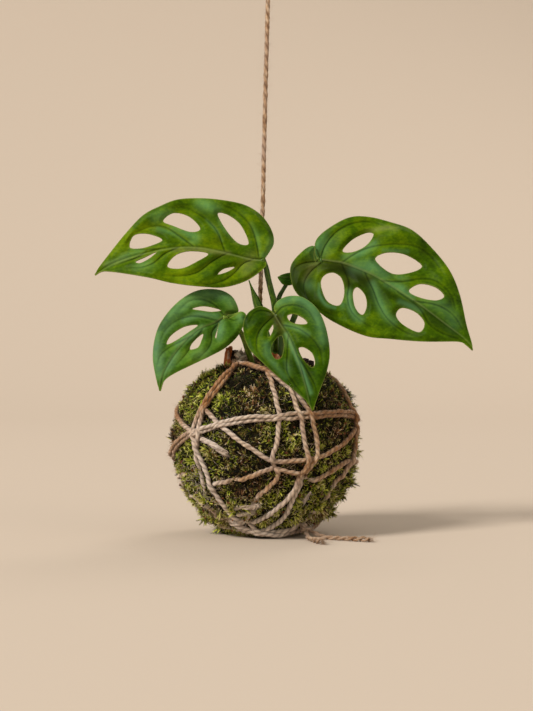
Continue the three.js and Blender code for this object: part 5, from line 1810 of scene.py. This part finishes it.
def leaf_finish(name, dark, middle, light, sheen):
    """A waxy green blade: softly mottled, with painted shade along its creases, painted highlights beside
    the veins and along one side of the midrib, thin pale edges, brown near the stalk that is partly
    painted shade, and a painted sheen and painted shade where its strokes are."""
    make = Finish(name, Roughness=0.45, Specular_IOR_Level=0.05)
    cloud = make.noise(38.0, 2.0)
    mottle = make.noise(170.0, 3.0, 0.5)
    cells = make.noise(1400.0, 2.0)
    grain = make.noise(520.0, 3.0, 0.6, (1.0, 1.0, 1.6))
    tone = (cloud * 0.62 + mottle * 0.42 + grain * 0.32 - 0.18).clipped()
    colour = make.three_tones(tone, dark, middle, light)
    # crease is a darker copy of the dark green, for painted shade along the creases. Laid over the greens in
    # turn: painted highlights on the vein shoulders, painted shade, brown that is partly painted shade,
    # deeper painted shade, a painted greyish sheen, a painted glaucous sheen, painted shade along the
    # creases, a painted highlight along one side of the midrib, and pale edges
    crease = tuple(0.5 * part for part in dark)
    for above, share in (
        (light, make.mark("shoulder") * 0.35),
        (dark, make.mark("shade") * (mottle * 0.6 + 0.55).clipped()),
        ((50, 42, 18), make.mark("brown") * 0.9),
        ((22, 36, 0), make.mark("deep") * (mottle * 0.8 + 0.5).clipped()),
        ((132, 132, 84), make.mark("dust") * 0.6),
        (sheen, (make.mark("gleam") * (cloud * 0.6 + 0.55)).clipped() * 0.62),
        (crease, make.mark("vein") * 0.65),
        ((128, 140, 84), make.mark("rib") * 0.6),
        ((150, 158, 70), make.mark("rim") * 0.4),
    ):
        colour = make.blend(colour, above, share)
    return make.wear(
        Base_Color=colour,
        Roughness=0.42 + mottle * 0.16,
        Normal=make.relief(mottle * 0.5 + cells * 0.5, 0.0003, 0.45),
    )


# Each leaf's dark, middle and light green, and the colour of its painted glaucous sheen
GREENS = {
    "leaf_upper_left": ((34, 60, 0), (68, 98, 0), (108, 132, 0), (108, 162, 96)),
    "leaf_upper_right": ((30, 50, 0), (60, 90, 0), (98, 125, 0), (104, 160, 106)),
    "leaf_lower_left": ((28, 58, 0), (67, 105, 20), (99, 134, 36), (124, 172, 130)),
    "leaf_front": ((20, 42, 0), (53, 84, 0), (91, 118, 0), (112, 166, 114)),
    # Lighter greens for the young leaf, which paint light where the upper right leaf shades it
    "young_leaf": ((34, 66, 6), (58, 100, 14), (86, 130, 26), (92, 136, 96)),
}


def stroke_marks(spot, strokes):
    """For each kind of stroke, how strong it is at each spot: it falls off to the sides as a bell."""
    marks = {}
    for kind in STROKE_KINDS:
        marks[kind] = np.zeros(len(spot))
        for width, strength, points in strokes.get(kind, []):
            line = spaced(smooth_line(points), STROKE_STEP)
            far, which = nearest(spot, line)
            share = which / max(1, len(line) - 1)
            fade = strength * (1 - 0.35 * np.abs(2 * share - 1))
            marks[kind] = np.maximum(marks[kind], fade * bell(far, 0, width))
    return marks


def vein_marks(spot, veins):
    """Each spot's distance to the nearest vein, and that vein's strength, which falls along it."""
    vein_far = np.full(len(spot), 99.0)
    strength = np.zeros(len(spot))
    for points in veins:
        line = spaced(smooth_line(points), VEIN_STEP)
        far, which = nearest(spot, line)
        fade = 1 - 0.75 * (which / len(line)) ** 1.5
        strength = np.where(far < vein_far, fade, strength)
        vein_far = np.minimum(vein_far, far)
    return vein_far, strength


def quilted(depth, wave, share, off, rib_far, vein_far, strength, rim_far):
    """The blade's depth with its relief: pillows that swell forward between the creases, a slow wave, a
    valley along each vein and the midrib, and a margin that curls back."""
    grown = ramp(off, 0.0, 6.0) * ramp(rim_far, 0.0, 3.5)
    pillow = (1 - bell(np.minimum(vein_far, rib_far + 1.5), 0, 5.5)) * grown
    depth = depth - PILLOW * pillow + wave * ramp(off, 0.0, 14.0)
    crease = strength * (VALLEY * np.exp(-vein_far / 2.4) + 0.3 * bell(vein_far, 0, 0.5))
    depth = depth + crease * ramp(off, 0.0, 5.0)
    depth = depth + (VALLEY * np.exp(-rib_far / 2.6) - 0.35 * bell(rib_far, 1.2, 0.6)) * (1 - 0.5 * share)
    return depth + MARGIN_CURL * (1 - ramp(rim_far, 0.0, 3.0))


def facing_front(points, triangles):
    """The triangles, turned round where most of them face backwards."""
    corner = points[triangles]
    facing = np.cross(corner[:, 1] - corner[:, 0], corner[:, 2] - corner[:, 0])
    return triangles[:, ::-1] if facing[:, 1].sum() > 0 else triangles


def make_leaf(name, leaf):
    """A blade cut out of its lattice, quilted, thickened and marked for its colours."""
    blade = Blade(leaf)
    share, side, triangles = cut_lattice(blade)
    spot, off = blade.spot(share, side)
    rib_far, _ = nearest(spot, blade.midrib)
    vein_far, strength = vein_marks(spot, leaf["veins"])
    edges = [blade.upper, blade.lower] + [smooth_line(hole, closed=True) for hole in leaf["holes"]]
    rim_far, _ = nearest(spot, np.vstack([spaced(edge, VEIN_STEP) for edge in edges]))
    wave = WAVE_HEIGHT.get(name, PLAIN_WAVE) * rolling(spot, WAVE_LENGTH, 140 + len(name))
    depth = blade.depth(share, side, spot, off)
    depth = quilted(depth, wave, share, off, rib_far, vein_far, strength, rim_far)
    points = in_sight(spot[:, 0], depth, spot[:, 1])
    triangles = facing_front(points, triangles)
    marks = {
        # The marks: painted shade along the veins and the midrib, partly their own darker green; painted
        # highlights on the veins' shoulders and along one side of the midrib; pale edges; and the strokes
        "vein": np.maximum(strength * bell(vein_far, 0, 0.5), (1 - 0.4 * share) * bell(rib_far, 0, 0.5)),
        "shoulder": strength * bell(vein_far, 1.1, 0.5),
        "rib": bell(rib_far, 0.85, 0.35) * (side * leaf["rib_highlight_side"] > 0) * (1 - 0.7 * share),
        "rim": 1 - ramp(rim_far, 0.05, 0.5),
        **stroke_marks(spot, STROKES.get(name, {})),
    }
    lay = np.stack([share, side], axis=-1)[triangles]
    finish = leaf_finish(name, *GREENS[name])
    piece = put(name.replace("leaf", "blade"), points, [triangles], finish, [lay], marks, [name])
    thicken(piece, BLADE)


for leaf_name, leaf_shape in LEAVES.items():
    make_leaf(leaf_name, leaf_shape)
make_rolled_leaf()


# ---- floor and light

# The floor's turn up into the backdrop, in metres
SWEEP_START = 1.6
SWEEP_RADIUS = 3.0


def make_floor():
    """A pale floor that turns up into a backdrop far behind, in one smooth sweep."""
    turn = np.linspace(0, np.pi / 2, 24)
    depth = np.concatenate([[-6.0, -2.0, 0.0], SWEEP_START + SWEEP_RADIUS * np.sin(turn)])
    height = np.concatenate([[0, 0, 0], SWEEP_RADIUS * (1 - np.cos(turn))])
    x, y = np.meshgrid([-8.0, 8.0], depth)
    points = np.stack([x, y, np.repeat(height[:, None], 2, 1)], axis=-1).reshape(-1, 3)
    row = 2 * np.arange(len(depth) - 1)
    quads = np.stack([row, row + 1, row + 3, row + 2], axis=1)
    mesh = bpy.data.meshes.new("floor")
    mesh.from_pydata(points.tolist(), [], quads.tolist())
    mesh.polygons.foreach_set("use_smooth", np.ones(len(quads), bool))
    make = Finish("floor", Roughness=0.95, Specular_IOR_Level=0.1)
    mesh.materials.append(make.wear(Base_Color=(204, 188, 170)))
    added("floor", mesh)


def make_lamp(name, place, aim, size, power, colour):
    """A round soft lamp, with lengths in metres."""
    lamp = bpy.data.lights.new(name, "AREA")
    lamp.shape = "DISK"
    lamp.size = size
    lamp.energy = power
    lamp.color = colour
    stand = added(name, lamp)
    stand.location = place
    stand.rotation_euler = (Vector(aim) - Vector(place)).to_track_quat("-Z", "Y").to_euler()


def make_world():
    """Dim warm light from all round."""
    world = bpy.data.worlds.new("studio")
    world.use_nodes = True
    background = world.node_tree.nodes["Background"]
    background.inputs["Color"].default_value = (1.0, 0.95, 0.88, 1.0)
    background.inputs["Strength"].default_value = 0.4
    bpy.context.scene.world = world


make_floor()
make_world()
make_lamp("window", (-5.4, -4.8, 5.6), (0, 0.2, 0.1), size=2.6, power=800, colour=(1.0, 0.97, 0.93))
make_lamp("fill", (3.2, -2.2, 1.2), (0, 0.2, 0.1), size=2.2, power=14, colour=(1.0, 0.9, 0.78))
make_lamp("rear", (1.2, 2.4, 2.8), (0, 0, 0.1), size=1.6, power=30, colour=(1.0, 0.95, 0.9))
bpy.context.scene.view_settings.view_transform = "Standard"
